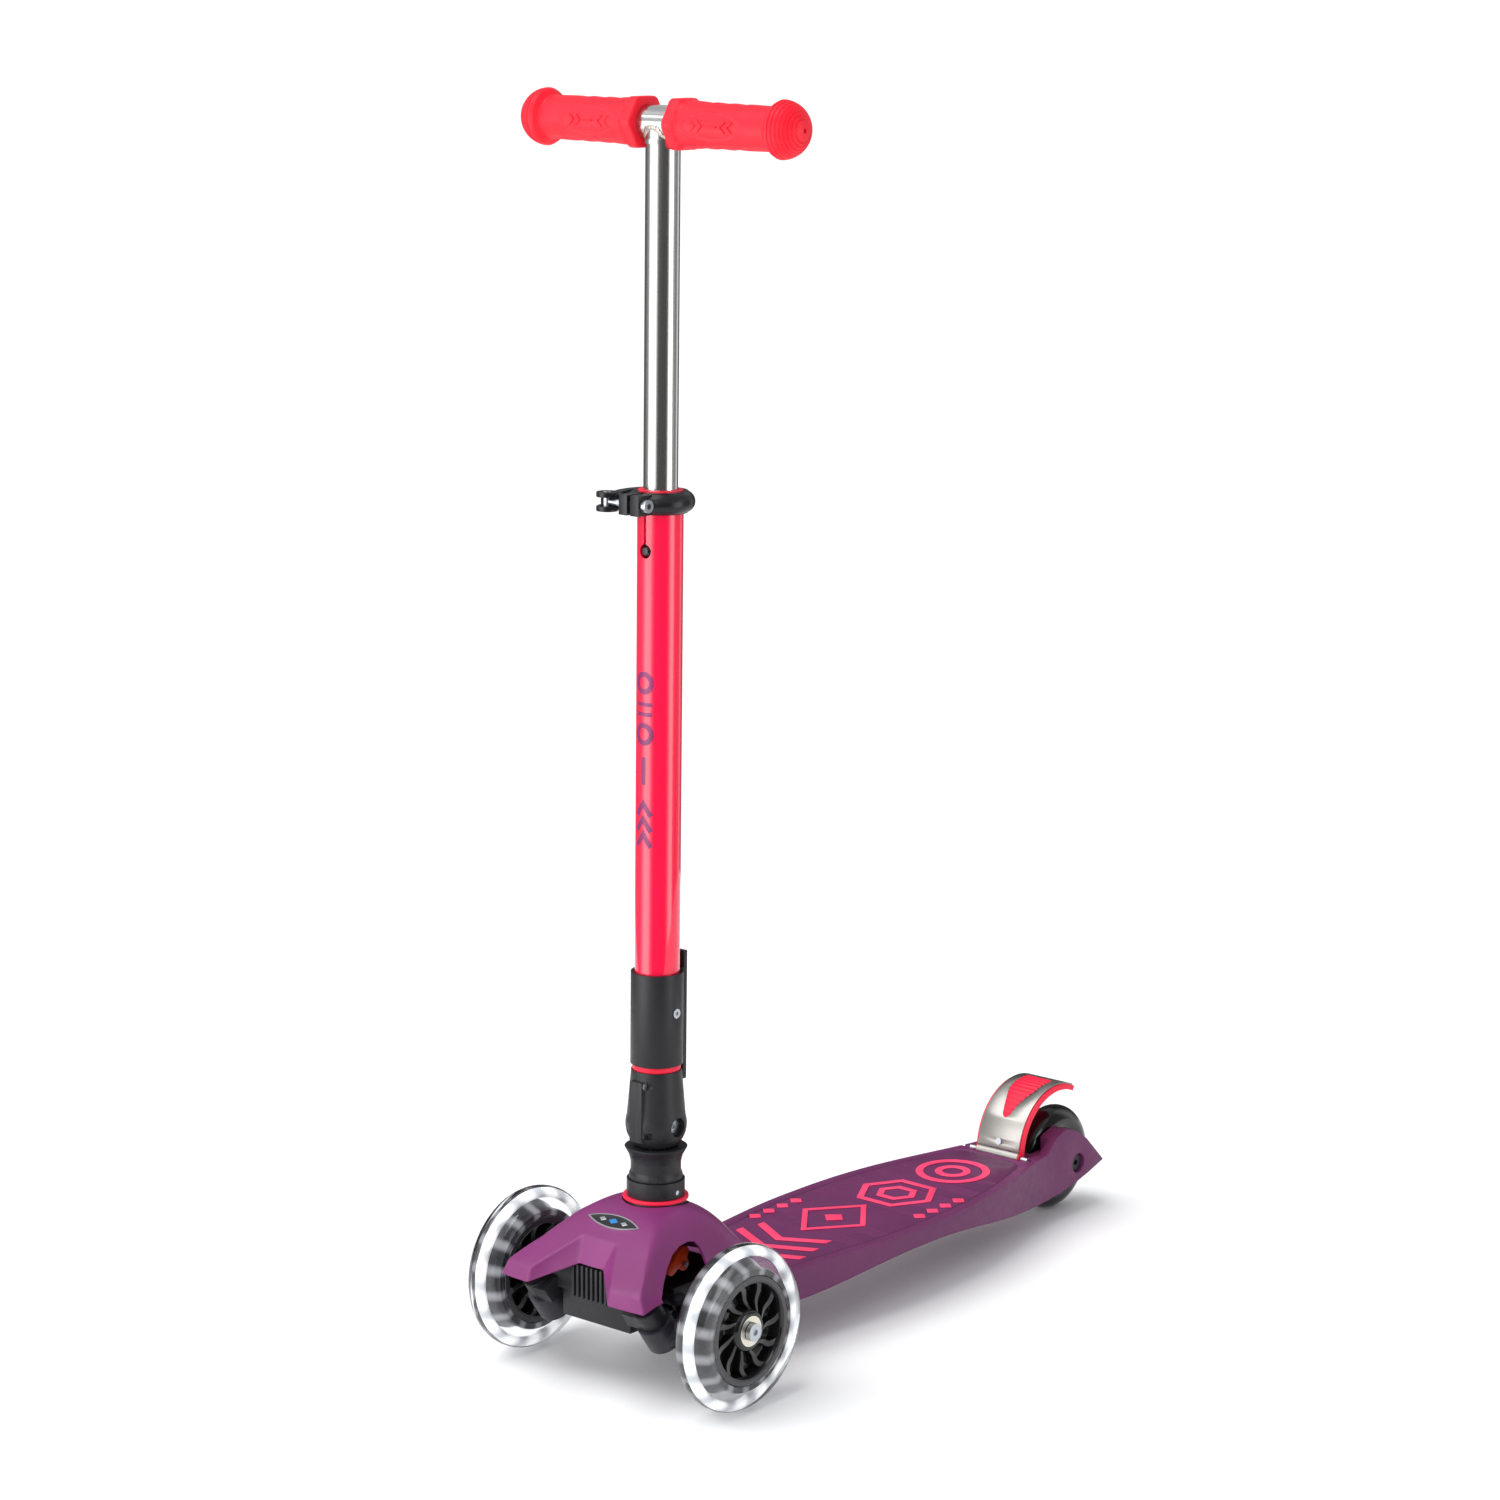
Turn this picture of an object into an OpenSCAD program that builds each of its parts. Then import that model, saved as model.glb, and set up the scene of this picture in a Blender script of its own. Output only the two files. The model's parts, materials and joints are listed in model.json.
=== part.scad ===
// Folding three-wheeled kick scooter for children, in millimetres.
// +Z is up, -Y is the front, +X is the rider's left. The floor is Z = 0 and
// the origin is the middle of the footprint box.

/* [Overall] */
// Distance between the front and rear axles
wheelbase = 498; // [440:1:620]
// Distance between the two front wheels, centre to centre
track = 198; // [190:1:230]
// Height of the handlebar's centre line with the bar pulled right up
bar_height = 885; // [830:1:1070]
// Rearward lean of the steering column, degrees
stem_lean = 1; // [0:0.5:4]

/* [Front wheels] */
// Radius of a front wheel over its tyre
front_wheel_r = 60; // [54:1:66]
// Width of a front tyre
front_tyre_w = 26; // [20:1:28]
// Radius of the front wheel's hub disc
front_hub_r = 39.6; // [34:0.2:41]
// Width of the front hub disc
front_hub_w = 23.4; // [18:0.2:24]
// Number of curved spokes in a front hub
spoke_count = 11; // [6:1:14]

/* [Rear wheel] */
// Radius of the rear wheel over its tyre
rear_wheel_r = 42; // [34:1:44]
// Width of the rear tyre
rear_tyre_w = 24; // [20:1:28]
// Radius of the rear wheel's hub
rear_hub_r = 24; // [20:1:28]

/* [Bearings and axles] */
// Outer radius of a wheel bearing
bearing_r = 11; // [10:0.5:12]
// Width of a wheel bearing
bearing_w = 7; // [6:0.5:8]
// Radius of the wheel axles
axle_r = 4; // [3:0.5:5]
// Radius of an axle bolt's head
axle_head_r = 6.5; // [5.5:0.5:8]

/* [Deck] */
// Full width of the deck at its widest
deck_w = 129; // [112:1:150]
// Width of the deck at its front end
deck_front_w = 102; // [90:1:110]
// Height of the standing surface above the floor
deck_top_z = 60; // [56:1:66]
// Wall thickness of the deck moulding
deck_wall = 4; // [3:0.5:6]
// Width over the rear fork
fork_w = 58; // [52:1:64]
// Gap on each side between the rear tyre and the fork
fork_gap = 3; // [2:0.5:5]
// Height of the raised deck pattern
pattern_h = 0.8; // [0.5:0.1:1.5]
// Width of a stroke in the raised pattern
pattern_stroke = 6; // [3:0.5:7]

/* [Steering] */
// Distance of each kingpin from the centre line
kingpin_x = 52; // [50:1:56]
// Trail: how far a front axle sits behind its kingpin
kingpin_trail = 36; // [32:1:40]
// Forward rake of the kingpins, degrees
kingpin_rake = 35; // [25:1:40]
// Radius of a kingpin
kingpin_r = 4; // [3:0.5:5]
// Radius of the fixed kingpin barrel
barrel_r = 10.5; // [9:0.5:12]
// Reach of the steering arm from kingpin to tie rod
tie_arm = 26; // [24:1:28]

/* [Column] */
// Height of the fold pivot
pivot_z = 183; // [178:1:190]
// Distance of the fold pivot behind the front axle
column_setback = 26; // [24:1:30]
// Radius of the column spigot
spigot_r = 15; // [14:0.5:16]
// Outer radius of the lower stem tube
tube_r = 16; // [15:0.1:19.2]
// Wall of the lower stem tube
tube_wall = 2; // [1.5:0.25:2.5]
// Height of the top of the lower stem tube
tube_top_z = 634; // [600:1:650]
// Outer radius of the handlebar tube
bar_r = 12; // [11:0.5:12.5]
// Wall of the handlebar tube
bar_wall = 1.6; // [1.2:0.2:2]
// Length of handlebar tube that stays inside the stem at full height
bar_overlap = 76; // [66:1:90]
// How far the handlebar slides down
bar_travel = 225; // [180:5:225]
// Radius of the fold pin
fold_pin_r = 5; // [4:0.5:6]
// Radius of the round head of the hinge lug
lug_r = 14; // [12:0.5:15]
// Thickness of the hinge lug
lug_t = 14; // [10:1:16]
// Upward travel of the lock sleeve
sleeve_travel = 12; // [10:1:14]

/* [Handlebar] */
// Overall width across the grip ends
bar_span = 250; // [220:1:320]
// Radius of the grip's domed end
grip_end_r = 20; // [18:0.5:22]
// Radius of the grip body
grip_r = 15.2; // [14.5:0.1:16]
// Radius of the vent hole in the grip end
grip_hole_r = 1.5; // [1:0.1:2.5]
// Depth of the vent hole in the grip end
grip_hole_depth = 12; // [8:1:16]

/* [Brake] */
// Width of the brake fender
fender_w = 44; // [38:1:48]
// Outer radius of the fender's curve
fender_r = 50; // [46:1:52]
// Angle of the fender's curve, from its hinge over the wheel
fender_sweep = 115; // [100:1:120]
// Thickness of the fender moulding
fender_t = 4; // [3:0.5:5]
// Thickness of the steel cover plate
plate_t = 1.2; // [1:0.1:2]
// Radius of the brake hinge pin
brake_pin_r = 2; // [1.5:0.25:2.5]

/* [Fits] */
// Radial clearance of a running fit
run_gap = 0.06; // [0.03:0.01:0.1]
// Radial clearance between fixed fitted pieces
seat_gap = 0.05; // [0:0.01:0.1]
// Gap between moving faces
move_gap = 0.5; // [0.3:0.1:1]

/* [Hidden] */
$fn = 72;
cover_reach = 68.3;    // nose of the front cover ahead of the front axle
total_len = cover_reach + wheelbase + rear_wheel_r;
front_axle_y = cover_reach - total_len / 2;
rear_axle_y = wheelbase;    // from here on Y is counted from the front axle

// Front end
kingpin_y = -kingpin_trail;
kingpin_z = front_wheel_r + 4;
boss_len = 15;
knuckle_len = 21;
knuckle_r = 13;
tie_drop = 16;
tie_pin_r = 3;
eye_r = 6;
rod_r = 3.4;
wheel_x = track / 2;
wheel_inner_x = wheel_x - front_hub_w / 2;
knuckle_boss_r = 10;

tongue_w = 60;
tongue_y1 = 122;
tongue_floor_z = 44;
tongue_z1 = 52;
tongue_screws_x = [-20, 20];
tongue_screw_y = 108;
badge_w = 47;
badge_d = 17;

// Column stack, heights along the leaned stem
socket_z = 58;
socket_top_z = 128;
seal_top_z = socket_top_z + 2.4;
ring_top_z = 143;
collar_top_z = 167;
spigot_z = 64;
seat_r = 22.6;              // hollow of the cup under the hinge ball
ball_r = seat_r - 0.7;
housing_top_z = 223;
housing_top_r = tube_r + 2;
tube_z = pivot_z + lug_r + 7;
stop_top_z = housing_top_z + 4;
sleeve_z = stop_top_z + 0.4;
sleeve_top_z = 294;
sleeve_r = tube_r + 2.7;
bolt_r = 4;
bolt_tip_z = pivot_z + lug_r + 0.4;    // just above the lug's head
bolt_head_z = 258;
bolt_head_top = bolt_head_z + 16;
screw_z = bolt_head_z + 8;
button_z = tube_top_z - 40;
button_r = 4;
bar_z = tube_top_z - bar_overlap;
spring_seat_z = min(304, bar_z - bar_travel - 8);    // below the lowest place of the bar
clamp_z = 620;
clamp_top_z = clamp_z + 15;
clamp_r = tube_r + 8;
clamp_bolt_y = -clamp_r - 3;
clamp_handle_r = clamp_r + 9.5;
clamp_pivot_x = -25;
clamp_pin_r = 3;

screw_heights = [pivot_z - 5, housing_top_z - 9];

// Rear end
slot_half = rear_tyre_w / 2 + fork_gap;
brake_y = rear_axle_y - 66;
brake_z = 60;
fender_y = brake_y + fender_r - 2;
fender_z = brake_z;
barrel_half = fender_w / 2 - 1;
hinge_barrel_r = 4;

// Deck stations, counted from the front axle
deck_y0 = 78;
deck_wide_y = 0.49 * wheelbase;
fork_y0 = rear_axle_y - 18;
deck_y1 = rear_axle_y + 33;

function ease(t) = let (u = max(0, min(1, t))) u * u * (3 - 2 * u);
function mix(a, b, t) = a + (b - a) * t;
// Half width of the deck at station y
function deck_half(y) = y < deck_wide_y
    ? mix(deck_front_w / 2, deck_w / 2, ease((y - deck_y0) / (deck_wide_y - deck_y0)))
    : mix(deck_w / 2, fork_w / 2,
        ease(pow(max(0, min(1, (y - deck_wide_y) / (fork_y0 - deck_wide_y))), 1.45)));
// Lower edge of the deck's side at station y: thin in the middle, deep at both ends
function deck_under(y) = y < deck_wide_y
    ? mix(36, 46, ease((y - deck_y0 - 40) / (deck_wide_y - deck_y0 - 40)))
    : y < rear_axle_y - 35
        ? mix(46, 22, ease((y - deck_wide_y - 20) / (rear_axle_y - 35 - deck_wide_y - 20)))
        : mix(22, 37, pow((y - rear_axle_y + 35) / 68, 1.6));

// ---------------------------------------------------------------- frames
module at_axle() {
    translate([0, front_axle_y, 0]) children();
}

// Children stand on the leaned column axis, their own Z along it, at height z
module on_stem(z) {
    at_axle() translate([0, column_setback, pivot_z]) rotate([-stem_lean, 0, 0])
        translate([0, 0, z - pivot_z]) children();
}

// Children stand on a kingpin's axis; s is +1 for the left pin
module on_kingpin(s) {
    at_axle() translate([s * kingpin_x, kingpin_y, kingpin_z]) rotate([kingpin_rake, 0, 0]) children();
}

// Children are turned so that their Z lies along +X
module along_x(x, y, z) {
    translate([x, y, z]) rotate([0, 90, 0]) children();
}

module tube(r, inner, h) {
    difference() {
        cylinder(r = r, h = h);
        translate([0, 0, -1]) cylinder(r = inner, h = h + 2);
    }
}

// Smallest convex solid around a list of corners
module block(corners) {
    hull() for (p = corners) translate(p) cube(0.1, center = true);
}

module both_sides() {
    children();
    mirror([1, 0, 0]) children();
}

// ---------------------------------------------------------------- deck
module deck_plan(inset = 0) {
    steps = 34;
    ys = [for (i = [0 : steps]) mix(deck_y0 + inset, deck_y1 - inset, i / steps)];
    polygon(concat([for (y = ys) [deck_half(y) - inset, y]],
        [for (i = [steps : -1 : 0]) [inset - deck_half(ys[i]), ys[i]]]));
}

module deck_profile() {
    steps = 24;
    polygon(concat([for (i = [0 : steps]) let (y = mix(deck_y0, deck_y1, i / steps)) [y, deck_under(y)]],
        [[deck_y1, deck_under(deck_y1) + 1], [rear_axle_y + 11, deck_top_z],
         [rear_axle_y - 4, deck_top_z + 10], [rear_axle_y - 17, deck_top_z + 14],
         [rear_axle_y - 30, deck_top_z + 10], [rear_axle_y - 44, deck_top_z], [deck_y0, deck_top_z]]));
}

module deck_shell() color("#6E2F66") at_axle() difference() {
    intersection() {
        linear_extrude(120) deck_plan();
        along_x(-deck_w / 2 - 5, 0, 0) rotate([0, 0, 90]) linear_extrude(deck_w + 10) deck_profile();
    }
    // Pockets between the cross ribs of the underside
    for (i = [0 : 5]) let (y0 = deck_y0 + 48 + i * (brake_y - deck_y0 - 62) / 6,
                           len = (brake_y - deck_y0 - 62) / 6 - deck_wall,
                           w = min(deck_half(y0), deck_half(y0 + len)) - 2 * deck_wall)
        both_sides() translate([deck_wall / 2, y0, -1])
            cube([w - deck_wall / 2, len, deck_top_z - deck_wall + 1]);
    // Seat of the front housing's tongue
    translate([-tongue_w / 2 - seat_gap, deck_y0 - 1, 0])
        cube([tongue_w + 2 * seat_gap, tongue_y1 - deck_y0 + 1 + seat_gap, tongue_z1 + seat_gap]);
    // Slot of the rear wheel
    translate([-slot_half, rear_axle_y - rear_wheel_r - 4, 0]) cube([2 * slot_half, 100, 100]);
    // Room between the fork's arms for the brake
    translate([-fender_w / 2 - 1, brake_y, brake_z - 2]) cube([fender_w + 2, 34, 40]);
    along_x(-fender_w / 2 - 0.6, brake_y, brake_z) cylinder(r = hinge_barrel_r + 0.8, h = fender_w + 1.2);
    translate([-fender_w / 2 - 0.6, brake_y - hinge_barrel_r - 0.8, brake_z])
        cube([fender_w + 1.2, 2 * hinge_barrel_r + 1.6, 20]);
    along_x(-fork_w, brake_y, brake_z) cylinder(r = brake_pin_r + seat_gap, h = 2 * fork_w);
    // Axle bore with a counterbore on each side
    along_x(-fork_w, rear_axle_y, rear_wheel_r) cylinder(r = axle_r + seat_gap, h = 2 * fork_w);
    both_sides() along_x(fork_w / 2 - 6, rear_axle_y, rear_wheel_r) cylinder(r = axle_head_r + 1.5, h = 20);
    // Clearance holes of the two tongue screws
    for (x = tongue_screws_x) translate([x, tongue_screw_y, 20])
        cylinder(r = 2 + seat_gap, h = deck_top_z - 24);
}

// Raised pattern: nested chevrons, an outlined lozenge, hexagons and small diamonds
module ring2d(r, sides) {
    difference() {
        circle(r = r, $fn = sides);
        circle(r = r - pattern_stroke, $fn = sides);
    }
}

module chevron2d(w, d) {
    both_sides() polygon([[0, 0], [w / 2, d], [w / 2, d + pattern_stroke * 1.3], [0, pattern_stroke * 1.3]]);
}

module deck_pattern() color("#FF4F7D") at_axle() translate([0, 0, deck_top_z]) linear_extrude(pattern_h) {
    for (i = [0 : 2]) translate([0, 118 + i * 20]) chevron2d(82 - 8 * i, 18);
    translate([0, 226]) scale([0.9, 1.15]) ring2d(34, 4);
    translate([0, 226]) circle(r = 9, $fn = 4);
    translate([0, 302]) ring2d(33, 6);
    translate([0, 302]) ring2d(17, 6);
    translate([0, 372]) ring2d(29, 48);
    translate([0, 372]) ring2d(14, 48);
    for (s = [-1, 1], i = [0 : 3]) translate([s * 47, 190 + (s < 0 ? 0 : 80) + i * 16])
        circle(r = 6, $fn = 4);
}

module body_screws() color("silver") {
    for (x = tongue_screws_x) at_axle() translate([x, tongue_screw_y, tongue_floor_z - 2.5]) {
        cylinder(r = 4, h = 2.5);
        cylinder(r = 2, h = deck_top_z - tongue_floor_z - 2.5);
    }
    on_stem(ring_top_z - 8) along_x(spigot_r + 0.4, 0, 0) cylinder(r = 1.7, h = 5.2);
}

// ---------------------------------------------------------------- front end
module front_housing() color("#2B2B2E") difference() {
    union() {
        on_stem(socket_z) cylinder(r = 22, h = socket_top_z - socket_z);
        at_axle() {
            // Cross beam with its grille of upright fins
            translate([-40, -40, 70]) cube([80, 16, 22]);
            for (i = [-4 : 4]) translate([i * 4.4 - 1, -43.5, 68]) cube([2, 4, 24]);
            // Webs from the beam back to the socket
            translate([-18, -26, 76]) cube([36, 40, 16]);
            // Belly and the tongue that carries the deck
            translate([-32, -38, 50]) cube([64, 60, 5]);
            translate([-32, -38, 50]) cube([64, 4, 22]);
            translate([-30, 10, 50]) cube([60, deck_y0 - 10, 20]);
            translate([-tongue_w / 2, deck_y0 - 12, tongue_floor_z])
                cube([tongue_w, tongue_y1 - deck_y0 + 12, tongue_z1 - tongue_floor_z]);
        }
        for (s = [-1, 1]) {
            on_kingpin(s) translate([0, 0, 0.5]) cylinder(r = barrel_r, h = boss_len);
            on_kingpin(s) translate([s > 0 ? -16 : 2, -10, 1]) cube([14, 22, boss_len - 2]);
        }
    }
    on_stem(spigot_z) cylinder(r = spigot_r + seat_gap, h = 100);
    for (s = [-1, 1]) on_kingpin(s) translate([0, 0, -10]) cylinder(r = kingpin_r + seat_gap, h = 80);
    // Flat and slot for the release lever
    on_stem(70) translate([18.6, -20, 0]) cube([20, 36, 44]);
    on_stem(84) translate([-30, 0, 0]) rotate([0, 90, 0]) cylinder(r = 2 + seat_gap, h = 80);
    for (x = tongue_screws_x) at_axle() translate([x, tongue_screw_y, 20]) cylinder(r = 2 + seat_gap, h = 60);
}

// Corners of the cover's right half shape, reused for its hollow
function cover_wing() = [
    [38.1, -68.2, 80.5], [67.6, -62.8, 79.1], [66, -42, 81],
    [37, -64.4, 90.2], [62.4, -60.5, 89.7], [12, -42.8, 94.1], [15.9, -35.4, 110.4],
    [49.5, -40, 103.4], [40, -22, 116.8], [12, -30, 90], [56, -18, 94], [34, -7, 122], [12, -8, 122]];
function cover_hood() = [
    [15.9, -35.4, 110.4], [40, -22, 116.8], [34, -7, 123.7], [27, 4, 128.4], [26, 50, 126.6],
    [36, 27.6, 121.7], [42.8, 34, 111], [51, 34, 101.8], [58, 20, 84], [57, 20, 64],
    [50, 76, 70], [46, 98, 62.5], [30, 99, 66], [48, 92, 60.5], [56, -16, 94], [15.9, -35.4, 94]];
function sunk(list, k, dz) = [for (p = list) [p[0] * k, 12 + (p[1] - 12) * k, p[2] - dz]];

module cover_mass(k, dz) {
    both_sides() block(sunk(cover_wing(), k, dz));
    block(concat(sunk(cover_hood(), k, dz), [for (p = sunk(cover_hood(), k, dz)) [-p[0], p[1], p[2]]]));
}

module front_cover() color("#7A3273") difference() {
    at_axle() cover_mass(1, 0);
    at_axle() {
        cover_mass(0.95, 3.2);
        cover_mass(0.94, 12);
        translate([0, 0, -12]) cover_mass(0.93, 14);
        // Deck tongue and deck pass under the back edge
        translate([-60, deck_y0 - 3, 0]) cube([120, 60, deck_top_z + 0.6]);
        // Arched openings in the side walls
        both_sides() along_x(31, 0, 0) rotate([0, 0, 90]) linear_extrude(50) cover_arch();
    }
    on_stem(socket_top_z - 12) cylinder(r = 24, h = 40);
    badge_frame() translate([0, 0, -1]) badge_body(badge_w + 0.2, badge_d + 0.2, 6);
}

module cover_arch() {
    polygon([[-42, 50], [-41, 84], [-32, 91.5], [-23, 98], [-11.6, 104.8], [3, 108.4], [12, 108.4],
        [17, 105], [18, 99], [18, 50]]);
}

module badge_frame() {
    at_axle() translate([0, -19.2, 118.6]) rotate([25.5, 0, 0]) children();
}

module badge_body(w, d, h) {
    r = (w * w / 4 + d * d / 4) / d;
    intersection() {
        translate([0, r - d / 2, 0]) cylinder(r = r, h = h);
        translate([0, d / 2 - r, 0]) cylinder(r = r, h = h);
    }
}

module cover_badge() color("#1E1E22") badge_frame() translate([0, 0, -0.9]) badge_body(badge_w, badge_d, 1.6);

module kingpins() color("silver") for (s = [-1, 1]) on_kingpin(s) {
    translate([0, 0, -knuckle_len - 4.5]) cylinder(r = 6.5, h = 4, $fn = 6);
    translate([0, 0, -knuckle_len - 4.5]) cylinder(r = kingpin_r, h = knuckle_len + 4.5 + boss_len - 3);
}

module knuckle(s) {
    difference() {
        union() {
            on_kingpin(s) translate([0, 0, -knuckle_len]) cylinder(r = knuckle_r, h = knuckle_len);
            // Arm out to the wheel and the boss that carries the axle
            at_axle() {
                hull() {
                    translate([s * (kingpin_x + 6), kingpin_y + 6, kingpin_z - 12]) sphere(r = 8, $fn = 28);
                    translate([s * (wheel_inner_x - 16), -4, front_wheel_r]) sphere(r = 9, $fn = 28);
                }
                along_x(s > 0 ? wheel_inner_x - 20 : -wheel_inner_x + 4, 0, front_wheel_r)
                    cylinder(r = knuckle_boss_r, h = 16);
            }
            // Steering arm back to the tie rod
            on_kingpin(s) {
                translate([-5, 0, -tie_drop - 4]) cube([10, tie_arm, 4]);
                translate([0, tie_arm, -tie_drop - 4]) cylinder(r = eye_r, h = 4);
                translate([0, tie_arm, -tie_drop - 4]) cylinder(r = tie_pin_r, h = 13);
            }
        }
        on_kingpin(s) translate([0, 0, -60]) cylinder(r = kingpin_r + run_gap, h = 100);
        on_kingpin(s) translate([0, 0, -knuckle_len - 5]) cylinder(r = knuckle_r + 12, h = 5);
        on_kingpin(s) translate([0, 0, 0]) cylinder(r = barrel_r + 8, h = 40);
        // Room for the tie rod's eye above the arm
        on_kingpin(s) difference() {
            translate([0, tie_arm, -tie_drop]) cylinder(r = eye_r + 2.6, h = 11);
            translate([0, tie_arm, -tie_drop - 1]) cylinder(r = tie_pin_r, h = 13);
            translate([0, 0, -tie_drop - 1]) cylinder(r = knuckle_r, h = 13);
        }
        at_axle() along_x(s > 0 ? 0 : -wheel_x - 20, 0, front_wheel_r)
            cylinder(r = axle_r + seat_gap, h = wheel_x + 20);
    }
}

module knuckle_left() color("#3A393F") knuckle(1);
module knuckle_right() color("#3A393F") knuckle(-1);

module tie_rod() color("dimgray") difference() {
    union() {
        for (s = [-1, 1]) on_kingpin(s) translate([0, tie_arm, -tie_drop + move_gap])
            cylinder(r = eye_r, h = 8);
        on_kingpin(1) translate([-2 * kingpin_x + eye_r / 2, tie_arm, -tie_drop + 4 + move_gap])
            rotate([0, 90, 0]) cylinder(r = rod_r, h = 2 * kingpin_x - eye_r);
    }
    for (s = [-1, 1]) on_kingpin(s) translate([0, tie_arm, -tie_drop - 5])
        cylinder(r = tie_pin_r + run_gap, h = 30);
}

// ---------------------------------------------------------------- wheels
// Every wheel module is drawn about its own axis, with X along the axle
module wheel_at(s) {
    at_axle() translate([s * wheel_x, 0, front_wheel_r]) rotate([0, 90, 0]) children();
}

module front_hub() difference() {
    union() {
        translate([0, 0, -front_hub_w / 2]) tube(front_hub_r - 4, front_hub_r - 8, front_hub_w);
        translate([0, 0, -front_hub_w / 2]) cylinder(r = bearing_r + 3, h = front_hub_w);
        translate([0, 0, -2]) cylinder(r = front_hub_r - 5, h = 4);
        for (i = [0 : spoke_count - 1]) rotate([0, 0, i * 360 / spoke_count]) swirl_spoke();
    }
    translate([0, 0, -front_hub_w]) cylinder(r = axle_r + 3, h = 2 * front_hub_w);
    for (e = [0, 1]) mirror([0, 0, e]) translate([0, 0, front_hub_w / 2 - bearing_w])
        cylinder(r = bearing_r + seat_gap, h = bearing_w + 1);
}

module swirl_spoke() {
    span = front_hub_r - bearing_r - 7;
    intersection() {
        translate([0, 0, -front_hub_w / 2 + 1]) tube(front_hub_r - 6, bearing_r + 1, front_hub_w - 2);
        translate([bearing_r + 2 + span / 2, span / 2 - 2, -front_hub_w / 2 + 1])
            tube(span * 0.78, span * 0.78 - 2.6, front_hub_w - 2);
        translate([bearing_r, -span, -20]) cube([2 * span, span * 1.05, 40]);
    }
}

module front_core() translate([0, 0, -front_hub_w / 2]) tube(front_hub_r, front_hub_r - 4, front_hub_w);

module front_tyre() difference() {
    rotate_extrude() intersection() {
        translate([front_wheel_r - front_tyre_w / 2, 0]) circle(r = front_tyre_w / 2);
        translate([front_hub_r, -front_tyre_w / 2]) square([front_tyre_w, front_tyre_w]);
    }
}

module bearings(half, r) for (e = [0, 1]) mirror([0, 0, e])
    translate([0, 0, half - bearing_w]) tube(r, axle_r + run_gap, bearing_w);

module axle_pair(s) {
    at_axle() along_x(s > 0 ? wheel_inner_x - 18 : -wheel_x - front_hub_w / 2 - 1, 0, front_wheel_r)
        cylinder(r = axle_r, h = front_hub_w + 19);
    at_axle() along_x(s * (wheel_x + front_hub_w / 2 + 0.5) - (s > 0 ? 0 : 3.4), 0, front_wheel_r)
    difference() {
        cylinder(r = axle_head_r, h = 3.4);
        translate([0, 0, s > 0 ? 1.6 : -1]) cylinder(r = 2.5, h = 2.8, $fn = 6);
    }
    // Shoulder that the inner bearing ring seats on
    at_axle() along_x(s > 0 ? wheel_inner_x - 3.6 : -wheel_inner_x + 0.5, 0, front_wheel_r)
        cylinder(r = axle_r + 1.6, h = 3.1);
}

module axle_left() color("silver") axle_pair(1);
module axle_right() color("silver") axle_pair(-1);
module hub_left() color("#1C1C1E") wheel_at(1) front_hub();
module hub_right() color("#1C1C1E") wheel_at(-1) front_hub();
module core_left() color("#3C3C40") wheel_at(1) front_core();
module core_right() color("#3C3C40") wheel_at(-1) front_core();
module tyre_left() color("white", 0.5) wheel_at(1) front_tyre();
module tyre_right() color("white", 0.5) wheel_at(-1) front_tyre();
module bearings_left() color("silver") wheel_at(1) bearings(front_hub_w / 2, bearing_r);
module bearings_right() color("silver") wheel_at(-1) bearings(front_hub_w / 2, bearing_r);

module rear_at() {
    at_axle() translate([0, rear_axle_y, rear_wheel_r]) rotate([0, 90, 0]) children();
}

module rear_hub() color("#232326") rear_at() difference() {
    translate([0, 0, -rear_tyre_w / 2]) cylinder(r = rear_hub_r, h = rear_tyre_w);
    translate([0, 0, -20]) cylinder(r = axle_r + 3, h = 40);
    for (e = [0, 1]) mirror([0, 0, e]) translate([0, 0, rear_tyre_w / 2 - bearing_w])
        cylinder(r = bearing_r + seat_gap, h = 20);
    for (i = [0 : 5]) rotate([0, 0, i * 60]) translate([rear_hub_r * 0.74, 0, -20]) cylinder(r = 2.6, h = 40);
}

module rear_tyre() color("#151517") rear_at() rotate_extrude() intersection() {
    translate([rear_wheel_r - rear_tyre_w / 2, 0]) circle(r = rear_tyre_w / 2);
    translate([rear_hub_r + seat_gap, -rear_tyre_w / 2]) square(rear_tyre_w);
}

module rear_bearings() color("silver") rear_at() bearings(rear_tyre_w / 2, bearing_r);

module rear_axle() color("silver") {
    rear_at() translate([0, 0, -fork_w / 2 + 6]) cylinder(r = axle_r, h = fork_w - 12);
    both_sides() rear_at() translate([0, 0, fork_w / 2 - 6]) difference() {
        cylinder(r = axle_head_r, h = 3.4);
        translate([0, 0, 1.2]) cylinder(r = 2.5, h = 4, $fn = 6);
    }
    // Spacers between the bearings and the fork
    both_sides() rear_at() translate([0, 0, rear_tyre_w / 2 + 0.3])
        tube(axle_r + 2, axle_r - 0.5, fork_gap - 0.3);
}

// ---------------------------------------------------------------- brake
module fender_curve(outer, t) difference() {
    circle(r = outer);
    circle(r = outer - t);
    translate([-2 * outer, -4 * outer]) square(4 * outer);
    rotate(180 - fender_sweep) translate([0, -2 * outer]) square(2 * outer);
}

module fender_at(w) {
    at_axle() along_x(-w / 2, fender_y, fender_z) rotate([0, 0, 90]) linear_extrude(w) children();
}

module brake_fender() color("#FF2850") difference() {
    union() {
        fender_at(fender_w) fender_curve(fender_r - plate_t - seat_gap, fender_t);
        at_axle() along_x(-barrel_half, brake_y, brake_z) cylinder(r = hinge_barrel_r, h = 2 * barrel_half);
    }
    at_axle() along_x(-30, brake_y, brake_z) cylinder(r = brake_pin_r + run_gap, h = 60);
    at_axle() along_x(-8, brake_y, brake_z) cylinder(r = hinge_barrel_r + 3, h = 16);
}

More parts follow.
